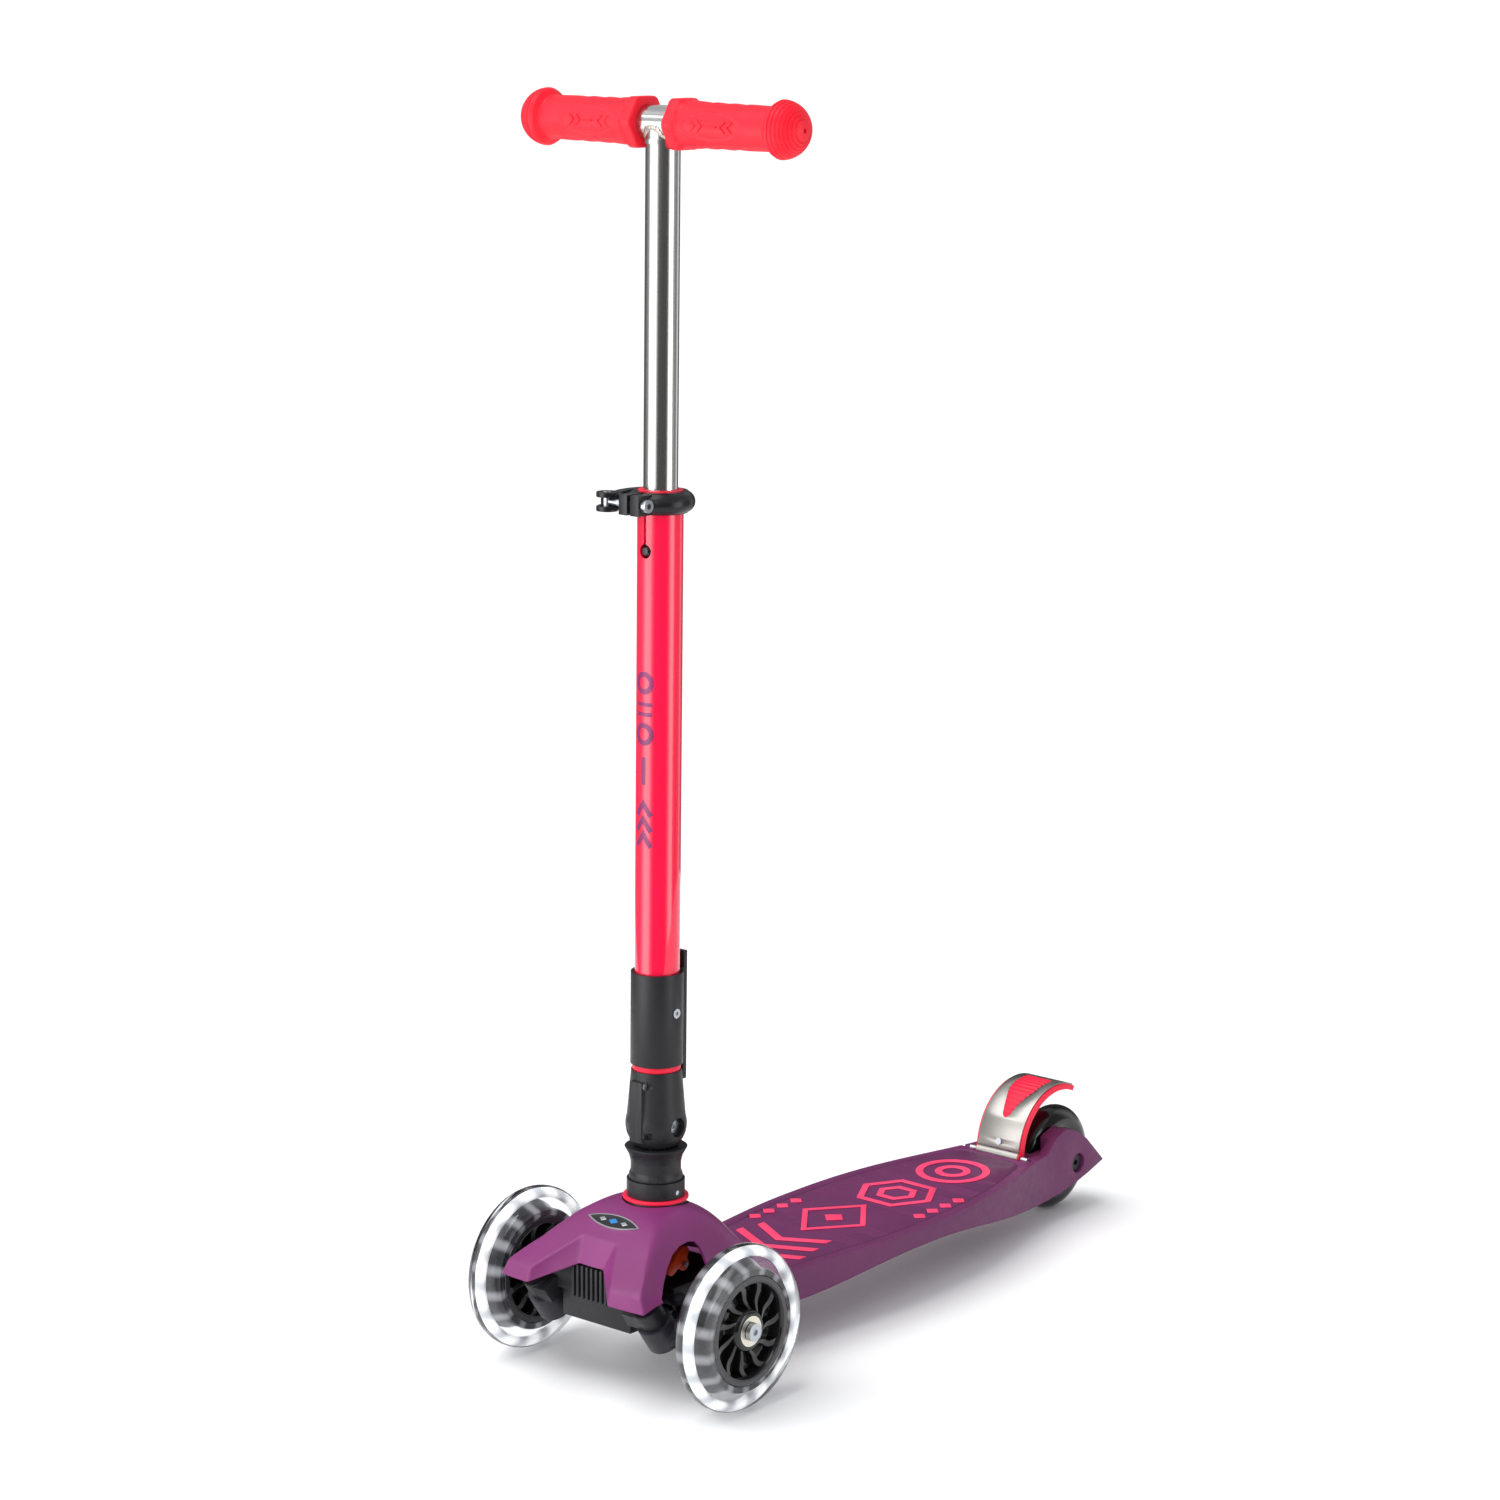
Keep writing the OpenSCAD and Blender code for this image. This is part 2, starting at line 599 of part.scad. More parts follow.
// Shield-shaped window of the plate, narrow end forwards
module plate_window(inset) at_axle() translate([0, fender_y, fender_z]) linear_extrude(80) hull() {
    for (x = [-9.5, 9.5]) translate([x, 2]) circle(r = 3 - inset);
    for (x = [-7.5, 7.5]) translate([x, -18]) circle(r = 4.5 - inset);
    translate([0, -37]) circle(r = 4.2 - inset);
}

module brake_plate() color("#A9A7A4") difference() {
    fender_at(fender_w - 4) fender_curve(fender_r, plate_t);
    plate_window(0);
    at_axle() along_x(-30, brake_y, brake_z) cylinder(r = hinge_barrel_r + 0.15, h = 60);
    rivet_at() cylinder(r = 1.6 + seat_gap, h = 30, center = true);
}

module brake_insert() color("#FF4060") intersection() {
    fender_at(fender_w - 6) fender_curve(fender_r + 0.4, plate_t + 0.3);
    plate_window(0.3);
}

module rivet_at() {
    at_axle() translate([0, fender_y, fender_z]) rotate([180 - 12, 0, 0])
        translate([0, fender_r, 0]) rotate([-90, 0, 0]) children();
}

module brake_rivet() color("silver") rivet_at() {
    translate([0, 0, 0.05]) cylinder(r = 2.8, h = 0.9);
    translate([0, 0, -plate_t]) cylinder(r = 1.6, h = plate_t + 0.2);
}

module brake_pin() color("silver") at_axle() along_x(-fork_w / 2 + 1, brake_y, brake_z)
    cylinder(r = brake_pin_r, h = fork_w - 2);

module brake_spring() color("gray") at_axle() {
    for (i = [0 : 5]) along_x(-5.5 + i * 2.2, brake_y, brake_z)
        rotate_extrude() translate([3, 0]) circle(r = 0.6);
    for (i = [0 : 4]) along_x(-5.5 + i * 2.2, brake_y, brake_z + 3) cylinder(r = 0.5, h = 2.2);
    translate([6, brake_y - 2.6, brake_z - 3.4]) cylinder(r = 0.5, h = 3.4);
}

// ---------------------------------------------------------------- column foot
module base_seal() color("#FF2850") on_stem(socket_top_z)
    tube(23.6, spigot_r + seat_gap, seal_top_z - socket_top_z);

module column_spigot() color("silver") on_stem(spigot_z) tube(spigot_r, spigot_r - 3, 158 - spigot_z);

module lower_ring() color("#2B2B2E") on_stem(seal_top_z) difference() {
    tube(20.8, spigot_r + seat_gap, ring_top_z - seal_top_z - 0.4);
    translate([10, 0, ring_top_z - 8 - seal_top_z]) rotate([0, 90, 0]) cylinder(r = 1.7 + seat_gap, h = 20);
}

// Waisted collar whose flared top is the cup that the hinge ball seats in
module collar() color("#2B2B2E") on_stem(ring_top_z) difference() {
    rotate_extrude() polygon([[0, 0], [19.2, 0], [19.2, 3], [18, 6], [18, 12], [19.2, 17],
        [22.4, 23], [21.4, 23.6], [0, 23.6]]);
    translate([0, 0, -1]) cylinder(r = spigot_r + seat_gap, h = 16.1);
    translate([0, 0, pivot_z - ring_top_z]) sphere(r = seat_r);
    // Opening for the lug
    translate([-lug_t / 2 - seat_gap, -12 - seat_gap, -1])
        cube([lug_t + 2 * seat_gap, 24 + 2 * seat_gap, 40]);
}

module hinge_lug() color("gray") difference() {
    union() {
        on_stem(pivot_z) along_x(-lug_t / 2, 0, 0) cylinder(r = lug_r, h = lug_t);
        on_stem(pivot_z - 25) translate([-lug_t / 2, -12, 0]) cube([lug_t, 24, 25]);
        on_stem(128) cylinder(r = spigot_r - 3 - seat_gap, h = 30);
    }
    on_stem(pivot_z) along_x(-20, 0, 0) cylinder(r = fold_pin_r + seat_gap, h = 40);
}

module fold_pin() color("silver") on_stem(pivot_z) along_x(-16, 0, 0) difference() {
    cylinder(r = fold_pin_r, h = 32);
    for (z = [-1, 31]) translate([0, 0, z]) cylinder(r = 2, h = 2, $fn = 6);
}

module release_pin() color("silver") on_stem(84) along_x(spigot_r + 1.5, 0, 0) cylinder(r = 2, h = 13.4);

// Side lever that frees the column from its socket
module release_lever() color("#E03A10") on_stem(84) translate([19.4, 0, 0]) difference() {
    union() {
        along_x(0, 0, 0) cylinder(r = 5, h = 8);
        hull() {
            translate([4, -13, -2]) rotate([0, 90, 0]) cylinder(r = 4, h = 4);
            translate([4, -1, 8.5]) rotate([0, 90, 0]) cylinder(r = 5, h = 5);
        }
    }
    along_x(-1, 0, 0) cylinder(r = 2 + run_gap, h = 30);
}

// ---------------------------------------------------------------- fold hinge
module housing_mass() {
    on_stem(pivot_z) {
        sphere(r = ball_r);
        cylinder(r1 = ball_r - 0.4, r2 = housing_top_r, h = housing_top_z - pivot_z);
    }
    // Upright rib where the halves are bolted together
    on_stem(pivot_z - 10) translate([-5.5, -housing_top_r - 4.2, 0])
        cube([11, 10, housing_top_z - pivot_z + 4]);
}

module housing_hollow() {
    // Slot of the lug, open below and to the rear for folding
    on_stem(pivot_z) {
        along_x(-lug_t / 2 - move_gap / 2, 0, 0) cylinder(r = lug_r + 1.2, h = lug_t + move_gap);
        translate([-lug_t / 2 - move_gap / 2, -13.6, -40]) cube([lug_t + move_gap, 60, 40]);
        translate([-lug_t / 2 - move_gap / 2, 0, -40]) cube([lug_t + move_gap, 60, 53.6]);
        along_x(-30, 0, 0) cylinder(r = fold_pin_r + run_gap, h = 60);
        for (e = [0, 1]) mirror([e, 0, 0]) along_x(16.4, 0, 0) cylinder(r = 7, h = 20);
    }
    // Flat back that clears the collar's rim when the stem is folded
    on_stem(pivot_z) difference() {
        translate([-30, 15.5, -5]) cube([60, 30, housing_top_z - pivot_z - 12]);
        sphere(r = ball_r + 0.01);
    }
    on_stem(tube_z) cylinder(r = tube_r + seat_gap, h = 60);
    on_stem(pivot_z) cylinder(r = bolt_r + 1, h = 60);
    for (z = screw_heights) on_stem(z) along_x(-12, -housing_top_r - 0.4, 0) {
        cylinder(r = 1.6 + seat_gap, h = 24);
        translate([0, 0, 16.2]) cylinder(r = 2.8, h = 8);
    }
}

module housing_half(s) difference() {
    housing_mass();
    housing_hollow();
    on_stem(pivot_z - 60) translate([s > 0 ? -60 : 0, -60, 0]) cube([60, 120, 120]);
}

module housing_left() color("#2B2B2E") housing_half(1);
module housing_right() color("#252528") housing_half(-1);

module housing_screws() color("silver") for (z = screw_heights) on_stem(z)
along_x(-5, -housing_top_r - 0.4, 0) {
    cylinder(r = 1.6, h = 9.2);
    translate([0, 0, 9.2]) cylinder(r = 2.7, h = 1.6);
}

module stop_ring() color("#FF2850") on_stem(housing_top_z)
    tube(tube_r + 1.2, tube_r + seat_gap, stop_top_z - housing_top_z);

module outer_tube() color("#FF0046") on_stem(tube_z) difference() {
    tube(tube_r, tube_r - tube_wall, tube_top_z - tube_z);
    // Slit for the clamp, ending in the snap button's hole
    translate([-1.1, -tube_r - 1, button_z - tube_z]) cube([2.2, 6, tube_top_z]);
    translate([0, 0, button_z - tube_z]) rotate([90, 0, 0]) cylinder(r = button_r + 1, h = 30);
    // Slot that lets the sleeve's screw rise with the sleeve
    for (z = [0, sleeve_travel]) translate([0, 0, screw_z - tube_z + z])
        rotate([0, 90, 0]) cylinder(r = 3.4, h = 30);
    translate([0, -3.4, screw_z - tube_z]) cube([30, 6.8, sleeve_travel]);
}

// ---------------------------------------------------------------- fold lock
module bolt_guide() color("dimgray") on_stem(tube_z)
    tube(tube_r - tube_wall - seat_gap, bolt_r + run_gap, 30);

module lock_bolt() color("silver") on_stem(bolt_tip_z) difference() {
    union() {
        cylinder(r = bolt_r, h = bolt_head_z - bolt_tip_z + 1);
        translate([0, 0, bolt_head_z - bolt_tip_z])
            cylinder(r = tube_r - tube_wall - 0.3, h = bolt_head_top - bolt_head_z);
    }
    translate([0, 0, screw_z - bolt_tip_z]) rotate([0, 90, 0]) cylinder(r = 2 + seat_gap, h = 30);
}

module lock_spring() color("gray") on_stem(bolt_head_top + 0.2)
    for (i = [0 : 8]) translate([0, 0, 1.5 + i * (spring_seat_z - bolt_head_top - 3.4) / 8])
        rotate_extrude() translate([9, 0]) circle(r = 1.5);

module spring_seat() color("dimgray") on_stem(spring_seat_z)
    cylinder(r = tube_r - tube_wall - seat_gap, h = 6);

module lock_sleeve() color("#333338") on_stem(sleeve_z) difference() {
    union() {
        cylinder(r = sleeve_r, h = sleeve_top_z - sleeve_z);
        // Thumb tab up the back of the sleeve
        translate([-8, housing_top_r + 1.4, -15]) cube([16, 3.4, sleeve_top_z - sleeve_z + 27]);
        translate([-8, 10, 6]) cube([16, housing_top_r - 8, sleeve_top_z - sleeve_z - 6]);
    }
    translate([0, 0, -20]) cylinder(r = tube_r + 0.35, h = 140);
    translate([0, 0, screw_z - sleeve_z]) rotate([0, 90, 0]) cylinder(r = 2 + seat_gap, h = 40);
    translate([sleeve_r - 1.4, 0, screw_z - sleeve_z]) rotate([0, 90, 0]) cylinder(r = 4, h = 10);
}

module sleeve_screw() color("silver") on_stem(screw_z) {
    along_x(1, 0, 0) cylinder(r = 2, h = sleeve_r - 2.4);
    along_x(sleeve_r - 1.4, 0, 0) difference() {
        cylinder(r = 3.5, h = 1.6);
        translate([0, 0, 0.7]) cylinder(r = 1.5, h = 2, $fn = 6);
    }
}

// ---------------------------------------------------------------- height clamp
module tube_bushing() color("#E82048") on_stem(button_z + 8) difference() {
    union() {
        cylinder(r = tube_r - tube_wall - seat_gap, h = tube_top_z - button_z - 8);
        translate([0, 0, tube_top_z - button_z - 8 + seat_gap]) cylinder(r = tube_r - 0.3, h = 1.6);
        translate([0, 0, tube_top_z - button_z - 9]) cylinder(r = tube_r - tube_wall - 0.1, h = 2);
    }
    translate([0, 0, -1]) cylinder(r = bar_r + run_gap, h = 100);
    translate([-1.1, -30, -1]) cube([2.2, 30, 100]);
}

module clamp_collar() color("#242427") on_stem(clamp_z) difference() {
    union() {
        rotate_extrude() intersection() {
            translate([clamp_r - 7.5, 7.5]) circle(r = 7.5);
            translate([tube_r + seat_gap, 0]) square(20);
        }
        tube(clamp_r - 5, tube_r + seat_gap, 15);
        translate([-9, clamp_bolt_y - 6, 0.5]) cube([18, 14, 14]);
    }
    translate([0, 0, -1]) cylinder(r = tube_r + seat_gap, h = 30);
    translate([-1.5, -50, -1]) cube([3, 50, 30]);
    along_x(-40, clamp_bolt_y, 7.5) cylinder(r = 2.5 + seat_gap, h = 80);
}

module clamp_bolt() color("silver") on_stem(clamp_z + 7.5) {
    along_x(clamp_pivot_x + clamp_pin_r + seat_gap, clamp_bolt_y, 0)
        cylinder(r = 2.5, h = 9.05 - clamp_pivot_x - clamp_pin_r);
    along_x(9.05, clamp_bolt_y, 0) difference() {
        cylinder(r = 4.5, h = 4.5);
        translate([0, 0, 2]) cylinder(r = 2.2, h = 4, $fn = 6);
    }
}

module cam_pin() color("silver") on_stem(clamp_z + 0.4) translate([clamp_pivot_x, clamp_bolt_y, 0])
    cylinder(r = clamp_pin_r, h = 14.2);

// Cam lever: two cheeks on the pin and a handle that wraps round the stem
module clamp_lever() color("#1F1F22") on_stem(clamp_z) difference() {
    union() {
        translate([clamp_pivot_x, clamp_bolt_y, 0.8]) cylinder(r = 7.6, h = 13.4);
        intersection() {
            difference() {
                translate([0, 0, 2]) cylinder(r = clamp_handle_r, h = 11);
                translate([0, 0, 1]) cylinder(r = clamp_handle_r - 6.5, h = 13);
            }
            translate([-50, clamp_bolt_y, 0]) cube([40, 48, 15]);
        }
        translate([-33.6, clamp_bolt_y, 2]) cube([9, 12, 11]);
    }
    translate([clamp_pivot_x, clamp_bolt_y, -5]) cylinder(r = clamp_pin_r + run_gap, h = 30);
    // Room for the bolt's eye between the cheeks while the lever swings
    translate([clamp_pivot_x, clamp_bolt_y, 4.4]) intersection() {
        cylinder(r = 9, h = 6.2);
        translate([-9, -9, 0]) cube([18, 15.4, 6.2]);
    }
    translate([-16.6, clamp_bolt_y - 10, -1]) cube([20, 30, 20]);
}

// ---------------------------------------------------------------- handlebar
module bar_tube() color("#C8C8CA") difference() {
    union() {
        on_stem(bar_z) cylinder(r = bar_r, h = bar_height - bar_z);
        // Weld bead at the joint
        on_stem(bar_height - bar_r - 1.6) cylinder(r = bar_r + 1.2, h = 3);
    }
    on_stem(bar_z - 1) cylinder(r = bar_r - bar_wall, h = bar_height - bar_z + 2);
    // Coped end that the crossbar is welded into
    on_stem(bar_height) along_x(-2 * bar_r, 0, 0) cylinder(r = bar_r + seat_gap, h = 4 * bar_r);
    on_stem(button_z) rotate([90, 0, 0]) cylinder(r = button_r + 0.2, h = 30);
}

module crossbar() color("#C8C8CA") on_stem(bar_height) along_x(22 - bar_span / 2, 0, 0)
    tube(bar_r, bar_r - bar_wall, bar_span - 44);

module bar_glider() color("dimgray") on_stem(bar_z) difference() {
    cylinder(r = tube_r - tube_wall - run_gap, h = 16);
    translate([0, 0, -1]) cylinder(r = bar_r + seat_gap, h = 30);
}

// Dome that springs out through the hole and stops the bar coming out of the stem
module snap_button() color("#1A1A1C") on_stem(button_z) rotate([90, 0, 0]) {
    translate([0, 0, bar_r - 5]) cylinder(r = button_r, h = tube_r - bar_r + 3.4);
    translate([0, 0, tube_r - 1.6]) cylinder(r1 = button_r, r2 = 2.4, h = 1.5);
    translate([0, 0, bar_r - 6]) intersection() {
        cylinder(r = button_r + 1.4, h = 1.8);
        translate([-3, -8, 0]) cube([6, 16, 3]);
    }
}

module grip() along_x(0, 0, 0) difference() {
    union() {
        translate([0, 0, bar_r + 2]) cylinder(r = 19, h = 8, $fn = 6);
        translate([0, 0, bar_r + 9.9]) cylinder(r = grip_r, h = bar_span / 2 - grip_end_r - bar_r - 10);
        translate([0, 0, bar_span / 2 - grip_end_r - 12]) cylinder(r1 = grip_r, r2 = grip_end_r - 0.4, h = 6);
        intersection() {
            translate([0, 0, bar_span / 2 - grip_end_r]) sphere(r = grip_end_r);
            translate([0, 0, bar_span / 2 - grip_end_r - 6.1]) cylinder(r = grip_end_r, h = 60);
        }
    }
    translate([0, 0, -1]) cylinder(r = bar_r + seat_gap, h = bar_span / 2 - 22 + 1 + 0.4);
    translate([0, 0, bar_span / 2 - grip_hole_depth]) cylinder(r = grip_hole_r, h = 30);
}

module grip_left() color("#FF2850") on_stem(bar_height) grip();
module grip_right() color("#FF2850") on_stem(bar_height) mirror([1, 0, 0]) grip();

deck_shell();
deck_pattern();
body_screws();
front_housing();
front_cover();
cover_badge();
kingpins();
knuckle_left();
knuckle_right();
tie_rod();
axle_left();
axle_right();
hub_left();
hub_right();
core_left();
core_right();
tyre_left();
tyre_right();
bearings_left();
bearings_right();
rear_axle();
rear_hub();
rear_tyre();
rear_bearings();
brake_pin();
brake_fender();
brake_plate();
brake_insert();
brake_rivet();
brake_spring();
base_seal();
column_spigot();
lower_ring();
collar();
hinge_lug();
fold_pin();
release_pin();
release_lever();
housing_left();
housing_right();
housing_screws();
stop_ring();
outer_tube();
bolt_guide();
lock_bolt();
lock_spring();
spring_seat();
lock_sleeve();
sleeve_screw();
tube_bushing();
clamp_collar();
clamp_bolt();
cam_pin();
clamp_lever();
bar_tube();
crossbar();
bar_glider();
snap_button();
grip_left();
grip_right();
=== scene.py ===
import json
import math
import bpy
from mathutils import Matrix, Vector
from mathutils.geometry import convex_hull_2d


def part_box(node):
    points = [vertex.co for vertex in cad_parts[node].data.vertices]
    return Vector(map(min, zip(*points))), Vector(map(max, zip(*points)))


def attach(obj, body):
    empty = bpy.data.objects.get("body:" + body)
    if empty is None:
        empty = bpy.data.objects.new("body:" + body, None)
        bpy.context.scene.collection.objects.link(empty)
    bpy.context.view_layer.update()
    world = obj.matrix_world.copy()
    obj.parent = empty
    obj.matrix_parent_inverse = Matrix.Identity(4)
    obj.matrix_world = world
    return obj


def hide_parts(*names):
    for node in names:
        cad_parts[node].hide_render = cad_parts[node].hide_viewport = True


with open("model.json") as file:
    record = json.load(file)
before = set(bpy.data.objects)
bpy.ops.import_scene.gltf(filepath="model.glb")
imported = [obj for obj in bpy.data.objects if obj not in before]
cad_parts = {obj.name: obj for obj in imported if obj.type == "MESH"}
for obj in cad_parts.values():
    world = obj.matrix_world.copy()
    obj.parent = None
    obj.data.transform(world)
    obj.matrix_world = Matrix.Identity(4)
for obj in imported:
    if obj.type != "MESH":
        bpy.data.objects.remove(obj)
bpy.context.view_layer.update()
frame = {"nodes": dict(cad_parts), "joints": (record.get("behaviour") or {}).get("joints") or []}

joint = {j["name"]: j for j in frame["joints"]}

# ---------------------------------------------------------------- deck
# The deck is one thick injection moulding in tough purple polyamide with a fine
# spark-eroded grain. It screws to the front housing's tongue from below, and its
# rear end forks round the small wheel.
MM = 0.001
low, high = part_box("tyre_left")
AXLE = (low + high) / 2 / MM            # front axle, in millimetres
DECK_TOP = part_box("deck_pattern")[0].z / MM
EDGE_ROUND = 1.6
DECK_PURPLE = "#6E2C5F"
DECK_SHADE = "#5E2550"


def spot(x, y, z):
    """A point counted in millimetres from the middle of the front axle's line on the floor."""
    return Vector((x, AXLE.y + y, z)) * MM


def clear():
    """Back to object mode with nothing selected."""
    if bpy.context.object and bpy.context.object.mode != "OBJECT":
        bpy.ops.object.mode_set(mode="OBJECT")
    bpy.ops.object.select_all(action="DESELECT")


def hold(*pieces):
    """Selects these pieces alone, the last one active."""
    clear()
    for piece in pieces:
        piece.select_set(True)
    bpy.context.view_layer.objects.active = pieces[-1]
    return pieces[-1]


def modify(piece, kind, **settings):
    """Adds a modifier with its settings and applies it."""
    hold(piece)
    modifier = piece.modifiers.new(kind.title(), kind)
    for name, value in settings.items():
        setattr(modifier, name, value)
    bpy.ops.object.modifier_apply(modifier=modifier.name)
    return piece


def edit(piece, *steps):
    """Runs edit-mode steps on the whole piece."""
    hold(piece)
    bpy.ops.object.mode_set(mode="EDIT")
    bpy.ops.mesh.select_all(action="SELECT")
    for step in steps:
        step()
    bpy.ops.object.mode_set(mode="OBJECT")
    return piece


def smooth(piece, degrees=35):
    hold(piece)
    bpy.ops.object.shade_smooth_by_angle(angle=math.radians(degrees))
    return piece


def settle(piece, matrix=None):
    """Puts a piece's place into its mesh and leaves its object at the origin."""
    bpy.context.view_layer.update()
    piece.data.transform((matrix or Matrix.Identity(4)) @ piece.matrix_world)
    piece.matrix_world = Matrix.Identity(4)
    return piece


def dressed(node, name, width, segments=3, degrees=35):
    """A merged copy of a CAD piece with its edges rounded, as a mould leaves them."""
    clear()
    piece = frame["nodes"][node].copy()
    piece.data = piece.data.copy()
    piece.name = name
    piece.parent = None
    for key in list(piece.keys()):
        del piece[key]
    bpy.context.scene.collection.objects.link(piece)
    edit(piece,
         lambda: bpy.ops.mesh.remove_doubles(threshold=2e-6),
         lambda: bpy.ops.mesh.dissolve_limited(angle_limit=math.radians(0.6)))
    modify(piece, "BEVEL", width=width * MM, segments=segments, limit_method="ANGLE",
           angle_limit=math.radians(degrees), use_clamp_overlap=True)
    edit(piece, lambda: bpy.ops.mesh.quads_convert_to_tris())
    return smooth(piece)


def linear(code):
    """An sRGB hex value as the linear colour that a shader takes."""
    parts = [int(code[i:i + 2], 16) / 255 for i in (1, 3, 5)]
    return tuple(c / 12.92 if c <= 0.04045 else ((c + 0.055) / 1.055) ** 2.4 for c in parts) + (1,)


def add(material, kind, sockets=(), links=(), **settings):
    """Adds a node with its settings, its fixed socket values and its links."""
    node = material.node_tree.nodes.new(kind)
    for name, value in settings.items():
        setattr(node, name, value)
    for name, value in dict(sockets).items():
        node.inputs[name].default_value = value
    for name, source in dict(links).items():
        material.node_tree.links.new(source, node.inputs[name])
    return node


def surface(name, **sockets):
    """A new material: its Principled shader and its Object coordinates."""
    material = bpy.data.materials.new(name)
    material.use_nodes = True
    material.node_tree.nodes.clear()
    shader = add(material, "ShaderNodeBsdfPrincipled", {k.replace("_", " "): v for k, v in sockets.items()})
    add(material, "ShaderNodeOutputMaterial", links={"Surface": shader.outputs["BSDF"]})
    place = add(material, "ShaderNodeTexCoord").outputs["Object"]
    return material, shader, place


def feed(material, source, shader, name):
    material.node_tree.links.new(source, shader.inputs[name])


def noise(material, place, size, detail=2.0, roughness=0.5):
    """Noise whose blotches are about size millimetres across."""
    return add(material, "ShaderNodeTexNoise", {"Scale": 1 / (size * MM), "Detail": detail,
               "Roughness": roughness}, {"Vector": place}).outputs["Fac"]


def moulded(name, colour, shade, roughness=0.45, grain=0.8, depth=0.05, coat=0.0):
    """Injection-moulded plastic: eroded grain, slow flow-colour drift, and a skin that varies in gloss."""
    material, shader, place = surface(name, IOR=1.5, Specular_IOR_Level=0.28, Coat_Weight=coat)
    drift = noise(material, place, 45, 3)
    tint = add(material, "ShaderNodeMix", {6: linear(shade), 7: linear(colour)}, {0: drift},
               data_type="RGBA")
    feed(material, tint.outputs[2], shader, "Base Color")
    scuff = noise(material, place, 7, 5, 0.65)
    gloss = add(material, "ShaderNodeMapRange", {"From Min": 0.3, "From Max": 0.7,
                "To Min": roughness - 0.06, "To Max": roughness + 0.08}, {"Value": scuff})
    feed(material, gloss.outputs["Result"], shader, "Roughness")
    bump = add(material, "ShaderNodeBump", {"Strength": 0.35, "Distance": depth * MM},
               {"Height": noise(material, place, grain, 1)})
    feed(material, bump.outputs["Normal"], shader, "Normal")
    return material


def metal(name, colour, smoothest, roughest, size, detail=4, metallic=1.0):
    """Metal whose gloss wanders between two roughnesses in blotches of a size in millimetres."""
    material, shader, place = surface(name, Metallic=metallic, Base_Color=linear(colour))
    gloss = add(material, "ShaderNodeMapRange", {"To Min": smoothest, "To Max": roughest},
                {"Value": noise(material, place, size, detail)})
    feed(material, gloss.outputs["Result"], shader, "Roughness")
    return material


def coat(piece, material):
    """Gives a piece one material."""
    piece.data.materials.clear()
    piece.data.materials.append(material)
    return piece


def fit(piece, body, slot, material, *stands_for):
    """Finishes a new piece: its material, body and the CAD nodes it stands for. The slot argument is not
    used.
    """
    coat(piece, material)
    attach(piece, body)
    if stands_for:
        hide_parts(*stands_for)
    return piece


def cut(piece, *tools, operation="DIFFERENCE"):
    """Cuts a piece with closed tools and throws the tools away."""
    for tool in tools:
        modify(piece, "BOOLEAN", object=tool, operation=operation, solver="EXACT")
        bpy.data.objects.remove(tool)
    return piece


def bead(name, points, radius, closed=False):
    """A round bead along a line of points given in metres."""
    track = bpy.data.curves.new(name, "CURVE")
    track.dimensions = "3D"
    track.bevel_depth = radius * MM
    track.bevel_resolution = 3
    track.use_fill_caps = not closed
    line = track.splines.new("POLY")
    line.points.add(len(points) - 1)
    line.use_cyclic_u = closed
    for knot, point in zip(line.points, points):
        knot.co = (*point, 1)
    curve = bpy.data.objects.new(name, track)
    bpy.context.scene.collection.objects.link(curve)
    hold(curve)
    bpy.ops.object.convert(target="MESH")
    return edit(bpy.context.object, lambda: bpy.ops.mesh.normals_make_consistent(inside=False))


# A shallow groove runs inside the deck's edge and passes in front of the brake:
# (distance behind the front axle, half width of its line)
GROOVE_R = 0.9
GROOVE_LIFT = 0.25
GROOVE_LINE = ((112, 43.7), (140, 45.7), (170, 49.3), (200, 52.7), (230, 54.9), (260, 55.3), (290, 54.4),
               (320, 52.0), (350, 47.9), (380, 41.6), (400, 35.9), (412, 32.3), (419, 28), (422, 22))
# The grain kills most of the shine on the purple. The real grain is about 0.1 mm, and this is
# drawn coarse enough to show.
deck_plastic = moulded("grained_purple_polyamide", DECK_PURPLE, DECK_SHADE, 0.5, 0.9, 0.06)
deck = dressed("deck_shell", "deck", EDGE_ROUND)
groove = [spot(x, y, DECK_TOP + GROOVE_LIFT) for y, x in GROOVE_LINE]
groove += [spot(-x, y, DECK_TOP + GROOVE_LIFT) for y, x in reversed(GROOVE_LINE)]
smooth(cut(deck, bead("groove_tool", groove, GROOVE_R, closed=True)))
fit(deck, "chassis", "purple_deck", deck_plastic, "deck_shell")

# The grip pattern is a second shot of soft coral rubber moulded through the deck.
# It stands just proud, with soft shoulders, and is paler on top where shoes polish it.
PATTERN_PINK = "#FF4F7D"
PATTERN_SHADE = "#F0305F"
pattern_rubber = moulded("coral_second_shot_rubber", PATTERN_PINK, PATTERN_SHADE, 0.42, 0.7, 0.03)
pattern = dressed("deck_pattern", "deck_pattern_rounded", 0.35, 2)
fit(pattern, "chassis", "pattern_pink", pattern_rubber, "deck_pattern")

# ---------------------------------------------------------------- front housing and cover
# The black nylon housing carries the kingpins and the column socket. A thin purple
# hood clips over it: two wings slope down in front, with an arch through each side.
COVER_PURPLE = "#82306F"
COVER_SHADE = "#71295F"
COVER_WALL = 2.4
BLACK = "#232326"
BLACK_SHADE = "#1A1A1D"

# Glass fibres at the skin leave a soft, low sheen on the black.
black_nylon = moulded("black_glass_filled_nylon", BLACK, BLACK_SHADE, 0.42, 0.8, 0.05)
# Plating gives a cool, slightly blue shine that clouds in small patches.
zinc_steel = metal("bright_zinc_plated_steel", "#B4B8BE", 0.2, 0.42, 1.5)

